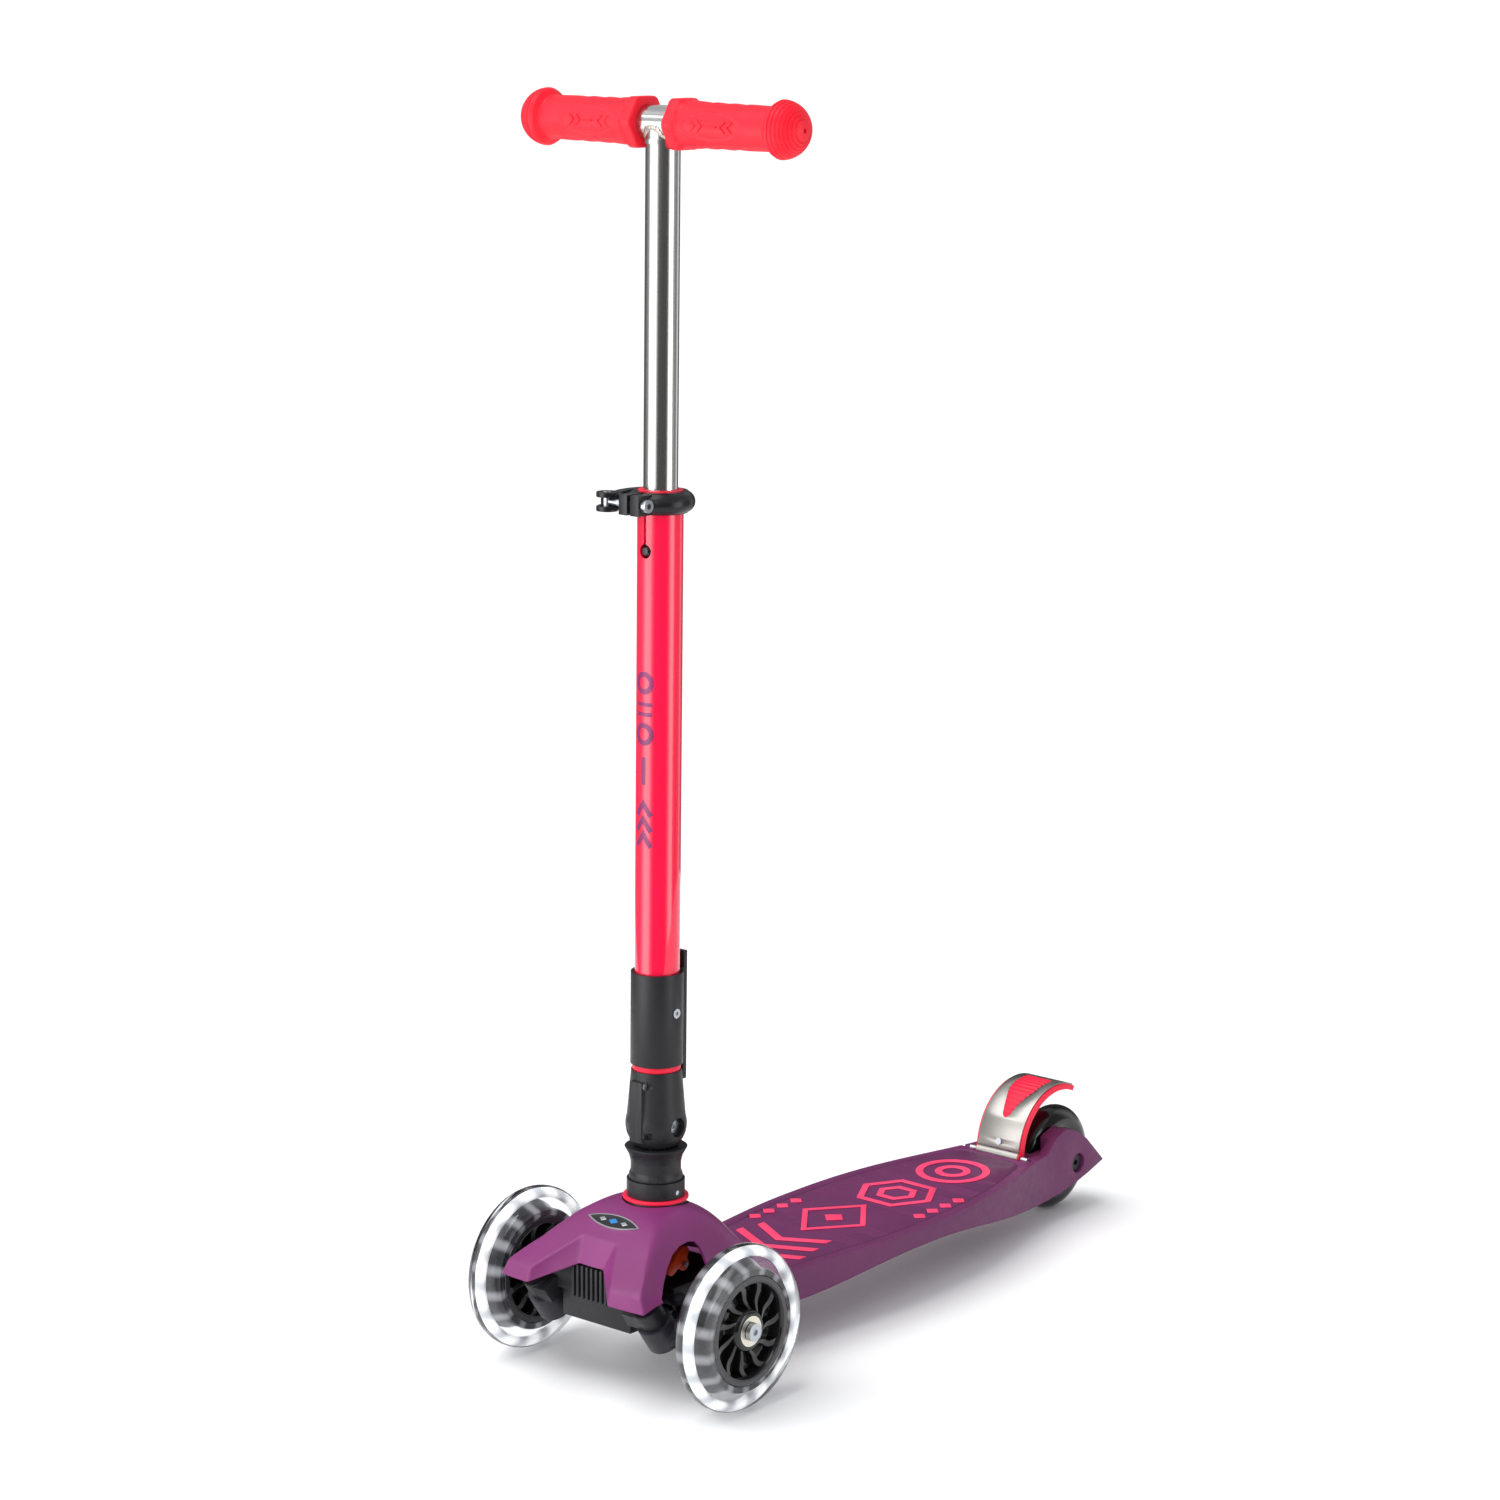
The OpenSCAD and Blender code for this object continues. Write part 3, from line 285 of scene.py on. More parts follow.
housing = dressed("front_housing", "front_housing_rounded", 0.8, 2)
fit(housing, "chassis", "black_plastic", black_nylon, "front_housing")
for name in ("body_screws", "kingpins", "release_pin", "axle_left", "axle_right"):
    coat(frame["nodes"][name], zinc_steel)


def skin(name, points, faces=()):
    """A mesh from its corners, in metres, and its faces as lists of corner numbers."""
    mesh = bpy.data.meshes.new(name)
    mesh.from_pydata(points, [], list(faces))
    piece = bpy.data.objects.new(name, mesh)
    bpy.context.scene.collection.objects.link(piece)
    return piece


def cage(name, points, faces):
    """A coarse skin from named corners, for shapes that no primitive comes near."""
    order = list(points)
    return skin(name, [spot(*points[k]) for k in order],
                [[order.index(k) for k in face.split()] for face in faces])


# Corners of the cover's left half, row by row from the nose to the deck:
# m on the middle line, n inside, t on the shoulder, s on the side, b at the hem
COVER = {
    "n0": (38.1, -68.3, 80.3), "k0": (53, -66.2, 79.4), "t0": (67.6, -63.4, 78.8),
    "n1": (37.2, -65.6, 90.6), "k1": (50, -64.2, 90.8), "t1": (63.2, -61.6, 90.4),
    "m2": (0, -44.2, 94), "n2": (11.5, -43.2, 94),
    "m3": (0, -35.4, 111.2), "n3": (16, -34.4, 111.2), "k3": (33, -37, 108.6), "t3": (50.4, -41, 104.6),
    "s3": (58.4, -42, 91.6), "b3": (66, -43, 82.8),
    "m4": (0, -18, 121.6), "n4": (22, -18, 121), "t4": (41, -22, 118.4),
    "s4": (51.5, -22, 100.6), "b4": (66, -22, 80),
    "m5": (0, -3, 127.4), "n5": (21, -3, 127), "t5": (35.6, -7, 125.6),
    "s5": (47, -7, 106.4), "b5": (66, -7, 80),
    "m6": (0, 12, 128.2), "n6": (22, 12, 128.2), "t6": (34.6, 12, 126.4),
    "s6": (47.2, 12, 106.2), "b6": (66, 12, 80),
    "m7": (0, 30, 128.2), "n7": (22, 30, 127.8), "t7": (35.4, 29, 124.6),
    "s7": (47.6, 28, 106), "b7": (60, 26, 66),
    "m8": (0, 50, 123), "n8": (22, 50, 122.4), "t8": (37.6, 49, 116.6),
    "s8": (48, 50, 100), "b8": (57, 54, 62),
    "m9": (0, 76, 97), "n9": (24, 76, 96), "t9": (41, 74, 90), "s9": (48.6, 75, 80), "b9": (54, 77, 61.2),
    "m0": (0, 100, 67.4), "n10": (24, 99.5, 67), "t10": (40, 97, 65.6),
    "s10": (47, 94, 63.6), "b10": (51.5, 91, 61),
}
COVER_FACES = ["n0 k0 k1 n1", "k0 t0 t1 k1", "n1 k1 k3 n3", "k1 t1 t3 k3", "t0 b3 s3 t1", "t1 s3 t3",
               "m2 n2 n3 m3", "n2 n0 n1 n3", "m3 n3 n4 m4", "n3 k3 t4 n4", "k3 t3 t4", "t3 s3 s4 t4",
               "s3 b3 b4 s4"]
for a, b in ((4, 5), (5, 6), (6, 7), (7, 8), (8, 9)):
    COVER_FACES += [f"m{a} n{a} n{b} m{b}", f"n{a} t{a} t{b} n{b}",
                    f"t{a} s{a} s{b} t{b}", f"s{a} b{a} b{b} s{b}"]
COVER_FACES += ["m9 n9 n10 m0", "n9 t9 t10 n10", "t9 s9 s10 t10", "s9 b9 b10 s10"]
# How sharp each named edge stays when the skin is smoothed
SHARP = {"n0 n1": 0.95, "n1 n3": 0.85, "n3 m3": 0.7, "n2 n3": 0.7, "n1 k1": 0.45, "k1 t1": 0.45, "n2 n0": 1,
         "t0 t1": 0.75, "t1 t3": 0.5, "t3 t4": 0.3, "t4 t5": 0.25}


ARCH_MID = 58
ARCH_WIDE = 50
COLUMN_HOLE_R = 23.9


def slab(name, outline, thickness):
    """A solid of even thickness about one flat outline."""
    return modify(skin(name, outline, [range(len(outline))]), "SOLIDIFY", thickness=thickness * MM, offset=0)


def arch_cutter(name, side):
    """A prism across the side wall, with the arch's outline in the YZ plane."""
    outline = [(-43, 40), (-41.5, 84), (-32, 92), (-23, 98.5), (-12, 105), (-2, 108.2), (8, 109),
               (14, 107.6), (17.4, 103), (18.4, 96), (18.4, 40)]
    return slab(name, [spot(side * ARCH_MID, y, z) for y, z in outline], ARCH_WIDE)


cover = cage("front_cover_hood", COVER, COVER_FACES)
crease = cover.data.attributes.new("crease_edge", "FLOAT", "EDGE")
order = list(COVER)
for edge in cover.data.edges:
    ends = {order[v] for v in edge.vertices}
    for pair, value in SHARP.items():
        if set(pair.split()) == ends:
            crease.data[edge.index].value = value
modify(cover, "MIRROR", use_axis=(True, False, False), use_mirror_merge=True, merge_threshold=0.02 * MM)
edit(cover, lambda: bpy.ops.mesh.normals_make_consistent(inside=False))
modify(cover, "SUBSURF", levels=4, render_levels=4, boundary_smooth="PRESERVE_CORNERS")
modify(cover, "SOLIDIFY", thickness=COVER_WALL * MM, offset=-1, use_even_offset=True)
fold = joint["stem_fold"]["pos_m"]
stem_up = Vector(joint["sleeve_lift"]["axis"])
PIVOT_HEIGHT = round(fold[2] / MM)
stem = (Matrix.Translation(fold) @ Matrix.Rotation(-math.atan2(stem_up.y, stem_up.z), 4, "X")
        @ Matrix.Translation((0, 0, -PIVOT_HEIGHT * MM)))


def column_cutter(radius, bottom, top):
    """A round tool that stands on the column's axis."""
    clear()
    bpy.ops.mesh.primitive_cylinder_add(vertices=96, radius=radius * MM, depth=(top - bottom) * MM,
                                        location=(0, 0, (top + bottom) / 2 * MM))
    return settle(bpy.context.object, stem)


cut(cover, arch_cutter("arch_left", 1), arch_cutter("arch_right", -1), column_cutter(COLUMN_HOLE_R, 90, 150))
modify(cover, "BEVEL", width=0.5 * MM, segments=2, limit_method="ANGLE", angle_limit=math.radians(50),
       use_clamp_overlap=True)
smooth(cover, 40)
# The hood is smoother and a little redder than the deck, so its planes catch the light.
cover_plastic = moulded("satin_purple_abs", COVER_PURPLE, COVER_SHADE, 0.4, 1.0, 0.05)
fit(cover, "chassis", "purple_cover", cover_plastic, "front_cover")

# The badge is a domed lens with a bright rim, glued into a shallow seat in the hood.
# Its face is plain gloss black with three small lozenges in place of any mark.
BADGE_TILT = 25.5
MARK_TOP = 1.2
badge_place = Matrix.Translation(spot(0, -19.2, 119.9)) @ Matrix.Rotation(math.radians(BADGE_TILT), 4, "X")


def lens(name, width, depth, bottom, top):
    """A pointed lens: the common part of two round discs."""
    radius = (width * width / 4 + depth * depth / 4) / depth
    discs = []
    for side in (-1, 1):
        clear()
        middle = (0, side * (radius - depth / 2) * MM, (top + bottom) / 2 * MM)
        bpy.ops.mesh.primitive_cylinder_add(vertices=512, radius=radius * MM, depth=(top - bottom) * MM,
                                            location=middle)
        discs.append(bpy.context.object)
    piece = cut(discs[0], discs[1], operation="INTERSECT")
    piece.name = name
    modify(piece, "BEVEL", width=0.35 * MM, segments=3, limit_method="ANGLE", angle_limit=math.radians(40),
           use_clamp_overlap=True)
    return smooth(settle(piece, badge_place))


# The rim is bright and hard-edged, the face deep and wet-looking, the middle mark a metallic blue.
chrome = metal("polished_chrome", "#D5D6D8", 0.05, 0.16, 6, 5)
badge_black = moulded("gloss_black_lacquer", "#0E0E12", "#16161C", 0.16, 2.0, 0.01, coat=0.6)
badge_blue = moulded("blue_foil", "#2E86C8", "#2270B0", 0.25, 1.0, 0.01)
rim = lens("badge_rim", 48, 13.4, -1.2, 1.0)
fit(rim, "chassis", "steel_tube", chrome, "cover_badge")
face = lens("badge_face", 44.5, 11.2, 0.2, 1.15)
fit(face, "chassis", "badge_black", badge_black)
for x, half in ((-10, 2.6), (0, 3.4), (10, 2.6)):
    clear()
    bpy.ops.mesh.primitive_cylinder_add(vertices=4, radius=half * MM, depth=0.5 * MM,
                                        location=(x * MM, 0, MARK_TOP * MM))
    mark = bpy.context.object
    mark.scale = (1.3, 0.8, 1)
    settle(mark, badge_place)
    modify(mark, "BEVEL", width=0.15 * MM, segments=2)
    mark.name = f"badge_lozenge_{x + 10}"
    fit(mark, "chassis", "steel_tube" if x else "badge_black", chrome if x else badge_blue)

# ---------------------------------------------------------------- steering
# Glass-filled nylon knuckles swing on raked kingpins under the wings. Each is a deep
# cup with a boxed arm out to its axle, and a short arm back to the tie rod.
ARM_ROUND = 1.6
# Corners of the left knuckle's boxed arm, which wraps the kingpin's lower end and the axle's root
ARM_CORNERS = [(52, -20, 48), (52, -8, 40), (60, -2, 36), (72, 4, 38), (82, 7, 46), (82, 8, 62), (82, -9, 64),
               (72, -16, 62), (60, -26, 58), (52, -28, 54), (60, -22, 42), (74, -10, 42)]
# The knuckles are a faintly plum black, smoother than the housing.
knuckle_nylon = moulded("dark_plum_nylon", "#2C2B34", "#222129", 0.4, 0.8, 0.05)
# Blackened steel looks oily and dark, with only a dull glint.
rod_black = metal("black_oxide_steel", "#3A3A3E", 0.35, 0.55, 3, metallic=0.9)
coat(frame["nodes"]["tie_rod"], rod_black)
for side, word in ((1, "left"), (-1, "right")):
    knuckle = dressed("knuckle_" + word, "knuckle_rounded_" + word, 1.2, 3)
    fit(knuckle, "steer_" + word, "black_plastic", knuckle_nylon, "knuckle_" + word)
    arm = skin("knuckle_arm_" + word, [spot(side * x, y, z) for x, y, z in ARM_CORNERS])
    edit(arm, lambda: bpy.ops.mesh.convex_hull(), lambda: bpy.ops.mesh.normals_make_consistent(inside=False))
    modify(arm, "BEVEL", width=ARM_ROUND * MM, segments=3, limit_method="ANGLE", angle_limit=math.radians(20),
           use_clamp_overlap=True)
    fit(smooth(arm), "steer_" + word, "black_plastic", knuckle_nylon)

# ---------------------------------------------------------------- front wheels
# Clear cast polyurethane tyres over a smoked core. A magnet ring in the hub lights a
# milky band inside the tyre as the wheel turns, so it shows as a row of white flashes.
WHEEL_R = (high.z - low.z) / 2 / MM
HUB_R = (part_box("core_left")[1].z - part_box("core_left")[0].z) / 2 / MM
HUB_HALF = (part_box("core_left")[1].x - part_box("core_left")[0].x) / 2 / MM
TYRE_HALF = (high.x - low.x) / 2 / MM
BEARING_R = 11
FLASHES = 15
BAND_R = 51.6
BAND_HALF = 2.3
BAND_STRETCH = 1.5      # the band is wider across the tyre than it is deep
WEB_HALF = 1.6
BLADES = 11
BLADE_ROOT = 12.5
BLADE_LONG = 23.6
BLADE_SWEEP = 34
BLADE_WAVE = 7


def arc(x, y, radius, start, end, steps):
    """Points along an arc, angles in degrees."""
    angles = [math.radians(start + (end - start) * i / steps) for i in range(steps + 1)]
    return [(x + radius * math.cos(angle), y + radius * math.sin(angle)) for angle in angles]


def turned(name, profile, steps=128):
    """A body of revolution about Z: one point is drawn out along the profile and spun."""
    clear()
    bpy.ops.mesh.primitive_plane_add(size=MM, location=(profile[0][0] * MM, 0, profile[0][1] * MM))
    piece = bpy.context.object
    piece.name = name
    settle(piece)
    bpy.ops.object.mode_set(mode="EDIT")
    bpy.ops.mesh.select_all(action="SELECT")
    bpy.ops.mesh.merge(type="CENTER")
    for before, after in zip(profile, profile[1:]):
        step = Vector((after[0] - before[0], 0, after[1] - before[1])) * MM
        bpy.ops.mesh.extrude_region_move(TRANSFORM_OT_translate={"value": step})
    bpy.ops.mesh.select_all(action="SELECT")
    bpy.ops.mesh.spin(steps=steps, angle=2 * math.pi, center=(0, 0, 0), axis=(0, 0, 1))
    bpy.ops.mesh.select_all(action="SELECT")
    bpy.ops.mesh.remove_doubles(threshold=2e-6)
    bpy.ops.mesh.normals_make_consistent(inside=False)
    bpy.ops.object.mode_set(mode="OBJECT")
    return piece


def joined(name, *pieces):
    """Several pieces made into one."""
    hold(*reversed(pieces))
    bpy.ops.object.join()
    bpy.context.object.name = name
    return bpy.context.object


def twin(piece, name, matrix):
    """A copy with its own mesh, moved by a matrix."""
    copy = piece.copy()
    copy.data = piece.data.copy()
    copy.name = name
    bpy.context.scene.collection.objects.link(copy)
    copy.data.transform(matrix)
    if matrix.determinant() < 0:
        copy.data.flip_normals()
    return copy


# Water-clear urethane with a skin scuffed by rolling bends the lights behind it.
pu_clear, pu_shader, pu_place = surface("clear_cast_polyurethane", Base_Color=linear("#F4F7FA"), IOR=1.42,
                                        Transmission_Weight=1.0, Coat_Weight=0.3, Coat_Roughness=0.05)
wear = add(pu_clear, "ShaderNodeMapRange", {"To Min": 0.02, "To Max": 0.09},
           {"Value": noise(pu_clear, pu_place, 9, 4)})
feed(pu_clear, wear.outputs["Result"], pu_shader, "Roughness")
# The hub's nylon is polished by its mould, so each blade carries a glint. The core is a smoky
# half-clear grey that reads as a dark line round the hub.
hub_black = moulded("gloss_black_nylon_hub", "#141416", "#0D0D0F", 0.22, 1.2, 0.03, coat=0.4)
core_smoked = moulded("smoked_polycarbonate", "#3B3B3F", "#27272A", 0.22, 2.0, 0.01, coat=0.5)
# Ground races shine warm and pale beside the cooler bolt.
bearing_steel = metal("ground_bearing_steel", "#D8D3C4", 0.12, 0.3, 1.2, 3)


def flashing(name, centre, dim, bright, gap, strength):
    """Milky light guide: bright patches round the wheel's axis with dimmer gaps between them."""
    material, shader, place = surface(name, Roughness=0.35)
    spoke = add(material, "ShaderNodeMapping", {"Location": -centre}, {"Vector": place})
    parts = add(material, "ShaderNodeSeparateXYZ", links={0: spoke.outputs["Vector"]})
    angle = add(material, "ShaderNodeMath", links={0: parts.outputs["Z"], 1: parts.outputs["Y"]},
                operation="ARCTAN2")
    turn = add(material, "ShaderNodeMath", {1: float(FLASHES)}, {0: angle.outputs[0]}, operation="MULTIPLY")
    wave = add(material, "ShaderNodeMath", links={0: turn.outputs[0]}, operation="COSINE")
    ramp = add(material, "ShaderNodeMapRange", {"From Min": gap[0], "From Max": gap[1]},
               {"Value": wave.outputs[0]}, interpolation_type="SMOOTHSTEP")
    tint = add(material, "ShaderNodeMix", {6: linear(dim), 7: linear(bright)}, {0: ramp.outputs["Result"]},
               data_type="RGBA")
    feed(material, tint.outputs[2], shader, "Base Color")
    feed(material, tint.outputs[2], shader, "Emission Color")
    glow = add(material, "ShaderNodeMapRange", {"To Min": strength * 0.3, "To Max": strength},
               {"Value": ramp.outputs["Result"]})
    feed(material, glow.outputs["Result"], shader, "Emission Strength")
    return material


def blade():
    """One swept blade of the hub, thick at the rim and fine at the boss."""
    clear()
    bpy.ops.mesh.primitive_cube_add(size=1)
    piece = bpy.context.object
    edit(piece, lambda: bpy.ops.mesh.subdivide(number_cuts=11))
    for v in piece.data.vertices:
        along = v.co.x + 0.5
        radius = BLADE_ROOT + BLADE_LONG * along
        sweep = math.radians(BLADE_SWEEP * math.sin(math.pi * along / 2) ** 1.4
                             + BLADE_WAVE * math.sin(2 * math.pi * along))
        half = (1.6 + 2.6 * along) * v.co.y * 2 * (1 - 0.35 * abs(v.co.z) * 2)
        tall = (9.6 - 2.4 * math.sin(math.pi * along)) * v.co.z * 2
        angle = sweep + half / radius
        v.co = Vector((radius * math.cos(angle), radius * math.sin(angle), tall)) * MM
    return piece


def hub():
    """Rim, web and boss turned in one, with the blades fused across both faces."""
    half = HUB_HALF
    rim = [(HUB_R - 4, half), (HUB_R - 5.2, half - 0.4), (HUB_R - 6.4, half - 2.6), (HUB_R - 7, 5)]
    boss = [(16.4, 4.5), (15.2, half - 3.2), (14.2, half - 1.2), (13, half - 0.3),
            (BEARING_R + 0.2, half - 0.3)]
    web = [(HUB_R - 8, WEB_HALF), (18, WEB_HALF)]
    top = rim + web + boss + [(BEARING_R + 0.2, half - 7), (7, half - 7)]
    profile = top + [(r, -z) for r, z in reversed(top)]
    return turned("hub", profile + [profile[0]])


LEFT = Vector(((low.x + high.x) / 2, (low.y + high.y) / 2, (low.z + high.z) / 2))
hub_master = hub()
blade_master = blade()
blades = [twin(blade_master, f"blade_{i}", Matrix.Rotation(2 * math.pi * i / BLADES, 4, "Z"))
          for i in range(BLADES)]
bpy.data.objects.remove(blade_master)
hub_master = joined("hub_master", hub_master, *blades)
modify(hub_master, "BEVEL", width=0.4 * MM, segments=2, limit_method="ANGLE", angle_limit=math.radians(45),
       use_clamp_overlap=True)
section = arc(WHEEL_R - TYRE_HALF, 0, TYRE_HALF, -100, 100, 56)
side_wall = [(HUB_R + 1.6, TYRE_HALF - 1.0), (HUB_R + 0.1, HUB_HALF)]
outline = section + side_wall + [(r, -z) for r, z in reversed(side_wall)]
tyre_master = turned("tyre_master", outline + [outline[0]], 192)
band_profile = arc(BAND_R, 0, BAND_HALF, 0, 360, 24)
band_master = turned("band_master", [(r, z * BAND_STRETCH) for r, z in band_profile], 160)
sleeve_profile = [(HUB_R + 0.4, -9.6), (HUB_R + 4.6, -9.2), (HUB_R + 5.6, -6.5), (HUB_R + 5.6, 6.5),
                  (HUB_R + 4.6, 9.2), (HUB_R + 0.4, 9.6), (HUB_R + 0.4, -9.6)]
inner_master = turned("inner_master", sleeve_profile, 160)
core_profile = [(HUB_R - 4, -HUB_HALF), (HUB_R - 0.6, -HUB_HALF), (HUB_R, -HUB_HALF + 0.6),
                (HUB_R, HUB_HALF - 0.6), (HUB_R - 0.6, HUB_HALF), (HUB_R - 4, HUB_HALF),
                (HUB_R - 4, -HUB_HALF)]
core_master = turned("core_master", core_profile, 160)
for side, word in ((1, "left"), (-1, "right")):
    centre = Vector((LEFT.x * side, LEFT.y, LEFT.z))
    place = Matrix.Translation(centre) @ Matrix.Rotation(math.pi / 2 * side, 4, "Y")
    body = "wheel_" + word
    band_light = flashing("milky_light_band_" + word, centre, "#D6D8DC", "#FFFFFF", (-1.6, 1.0), 0.6)
    spot_light = flashing("smoked_ring_with_lights_" + word, centre, "#2A2A2D", "#9A9A9E", (-0.2, 1.2), 0.2)
    for master, name, slot, material, stands in (
            (hub_master, "hub_blades_", "black_plastic", hub_black, "hub_"),
            (core_master, "core_ring_", "core_dark", core_smoked, "core_"),
            (tyre_master, "clear_tyre_", "tyre_clear", pu_clear, "tyre_"),
            (band_master, "light_band_", "tyre_clear", band_light, None),
            (inner_master, "inner_ring_", "core_dark", spot_light, None)):
        piece = smooth(twin(master, name + word, place), 40)
        fit(piece, body, slot, material, *([stands + word] if stands else []))
    coat(frame["nodes"]["bearings_" + word], bearing_steel)
for master in (hub_master, core_master, tyre_master, band_master, inner_master):
    bpy.data.objects.remove(master)

# ---------------------------------------------------------------- rear wheel
# One solid gloss-black polyurethane roller on two bearings. It is polished by use
# across its crown, and its hub is the same nylon as the front hubs.
# Near-black and wet-looking, with slow waves left by the casting.
tyre_black = moulded("gloss_black_polyurethane", "#0B0B0D", "#121215", 0.14, 6.0, 0.02, coat=0.25)
coat(frame["nodes"]["rear_tyre"], tyre_black)
rear_hub = dressed("rear_hub", "rear_hub_rounded", 0.5, 2)
fit(rear_hub, "wheel_rear", "black_plastic", hub_black, "rear_hub")
coat(frame["nodes"]["rear_bearings"], bearing_steel)
coat(frame["nodes"]["rear_axle"], rod_black)

# ---------------------------------------------------------------- fender brake
# A sprung pink moulding that the heel presses on the tyre. A brushed stainless sheet is
# riveted over it, leaving pink edges, and a ribbed tread pad shows through the sheet.
FENDER_R = 50
brake_axis = joint["brake_press"]["pos_m"]
FENDER_MID = Vector((0, brake_axis[1] / MM + FENDER_R - 2, brake_axis[2] / MM)) * MM
# Polypropylene has a waxy half-gloss and a flat, strong colour.
fender_pink = moulded("coral_red_polypropylene", "#FA1440", "#E60E36", 0.4, 1.2, 0.03)

sheet_steel, sheet_shader, sheet_place = surface("brushed_stainless_sheet", Metallic=1.0,
                                                 Base_Color=linear("#9A9793"), Anisotropic=0.5)
# Brush lines run across the fender and pull each highlight out sideways. They are 0.15 mm apart
# on the real sheet and drawn at 0.5 mm.
streak_place = add(sheet_steel, "ShaderNodeMapping", {"Scale": (0.03, 1, 1)}, {"Vector": sheet_place})
streak = noise(sheet_steel, streak_place.outputs["Vector"], 0.5, 3, 0.7)
streak_gloss = add(sheet_steel, "ShaderNodeMapRange", {"To Min": 0.28, "To Max": 0.46}, {"Value": streak})
feed(sheet_steel, streak_gloss.outputs["Result"], sheet_shader, "Roughness")
streak_bump = add(sheet_steel, "ShaderNodeBump", {"Strength": 0.25, "Distance": 0.02 * MM},
                  {"Height": streak})
feed(sheet_steel, streak_bump.outputs["Normal"], sheet_shader, "Normal")

fender = dressed("brake_fender", "fender_moulding", 0.8, 3)
fit(fender, "brake", "pink_plastic", fender_pink, "brake_fender")
plate = dressed("brake_plate", "fender_sheet", 0.3, 2)
fit(plate, "brake", "brushed_sheet", sheet_steel, "brake_plate")

# The sheet's front edge is rolled down round the hinge barrels.
ROLL_R = 4.55
ROLL_T = 0.38
sheet_low, sheet_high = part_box("brake_plate")
roll = arc(0, 0, ROLL_R, 70, -22, 24) + arc(0, 0, ROLL_R - ROLL_T, -22, 70, 24)
apron = slab("sheet_roll", [Vector((0, brake_axis[1] - y * MM, brake_axis[2] + z * MM)) for y, z in roll],
             (sheet_high.x - sheet_low.x) / MM)
fit(smooth(edit(apron, lambda: bpy.ops.mesh.normals_make_consistent(inside=False)), 30),
    "brake", "brushed_sheet", sheet_steel)

RIB_PITCH = 4.4
RIB_TALL = 0.8
RIB_STEPS = 8
TREAD_BACK = -10
TREAD_LONG = 62
TREAD_WIDE = 34
# The shield's rounded corners: (across, ahead or behind the crest, radius)
SHIELD = ((9.5, 2, 2.7), (7.5, -18, 4.2), (0, -37, 3.9), (-7.5, -18, 4.2), (-9.5, 2, 2.7))


def over_fender(along, radius):
    """A point on the fender's middle line, by its distance forward from the crest."""
    angle = along / FENDER_R
    return FENDER_MID + Vector((0, -radius * math.sin(angle), radius * math.cos(angle))) * MM


rib_at = [TREAD_BACK + i * RIB_PITCH / RIB_STEPS for i in range(int(TREAD_LONG / RIB_PITCH * RIB_STEPS))]
ribbed = [over_fender(s, FENDER_R - 0.2 + RIB_TALL * max(0, math.sin(2 * math.pi * s / RIB_PITCH)) ** 0.5)
          for s in rib_at]
tread = slab("tread_pad", ribbed + [over_fender(s, FENDER_R - 1.1) for s in reversed(rib_at)], TREAD_WIDE)
corners = [Vector(p) for x, y, radius in SHIELD for p in arc(x, y, radius, 0, 345, 23)]
corners = [corners[i] for i in convex_hull_2d(corners)]
shield = slab("shield", [FENDER_MID + Vector((x, y, 0)) * MM for x, y in corners], 160)
cut(tread, shield, operation="INTERSECT")
modify(tread, "BEVEL", width=0.15 * MM, segments=2, limit_method="ANGLE", angle_limit=math.radians(50),
       use_clamp_overlap=True)
fit(smooth(tread), "brake", "pink_plastic", fender_pink, "brake_insert")
coat(frame["nodes"]["brake_rivet"], zinc_steel)
coat(frame["nodes"]["brake_pin"], zinc_steel)
coat(frame["nodes"]["brake_spring"], rod_black)

# ---------------------------------------------------------------- column foot
# A steel spigot drops into the housing's socket past a coral rubber seal. Above it are a
# turned nylon ring and the waisted collar whose flared rim cups the fold hinge's ball.
# The seal's rubber is duller than the fender's plastic.
seal_rubber = moulded("coral_seal_rubber", "#FA1C46", "#E6143A", 0.5, 0.7, 0.03)
for node, name, width, slot, material in (
        ("base_seal", "seal_ring", 0.7, "pink_plastic", seal_rubber),
        ("lower_ring", "turned_ring", 0.5, "black_plastic", black_nylon),
        ("collar", "hinge_collar", 0.5, "black_plastic", black_nylon)):
    fit(dressed(node, name, width, 3, 28), "chassis", slot, material, node)
for name in ("column_spigot", "hinge_lug", "fold_pin"):
    coat(frame["nodes"][name], zinc_steel)

# The release lever is a bright orange acetal paddle that leans back under the hood.
lever_orange = moulded("orange_acetal", "#E2430F", "#C8340A", 0.32, 1.0, 0.03)
lever = dressed("release_lever", "release_paddle", 0.7, 3)
fit(lever, "release", "orange_plastic", lever_orange, "release_lever")

# ---------------------------------------------------------------- fold hinge and lock sleeve
# Two mirrored nylon shells are bolted round the lug and the tube's foot. A sliding
# sleeve above them lifts the lock bolt, and its tab gives the thumb a hold at the back.
for side, word in ((1, "left"), (-1, "right")):
    shell = dressed("housing_" + word, "hinge_shell_" + word, 0.9, 3, 32)
    fit(shell, "stem", "black_plastic", black_nylon, "housing_" + word)
for name in ("housing_screws", "lock_bolt", "lock_spring", "sleeve_screw"):
    coat(frame["nodes"][name], zinc_steel)
# Unpigmented guides are a plain dull grey that hardly shows.
guide_nylon = moulded("natural_grey_acetal", "#6E6E70", "#5A5A5C", 0.4, 1.0, 0.02)
for name in ("bolt_guide", "spring_seat", "bar_glider"):
    coat(frame["nodes"][name], guide_nylon)
ring = dressed("stop_ring", "stop_ring_rounded", 0.3, 2)
fit(ring, "stem", "pink_plastic", fender_pink, "stop_ring")
sleeve = dressed("lock_sleeve", "sliding_lock_sleeve", 0.7, 3, 32)
fit(sleeve, "sleeve", "black_plastic", black_nylon, "lock_sleeve")

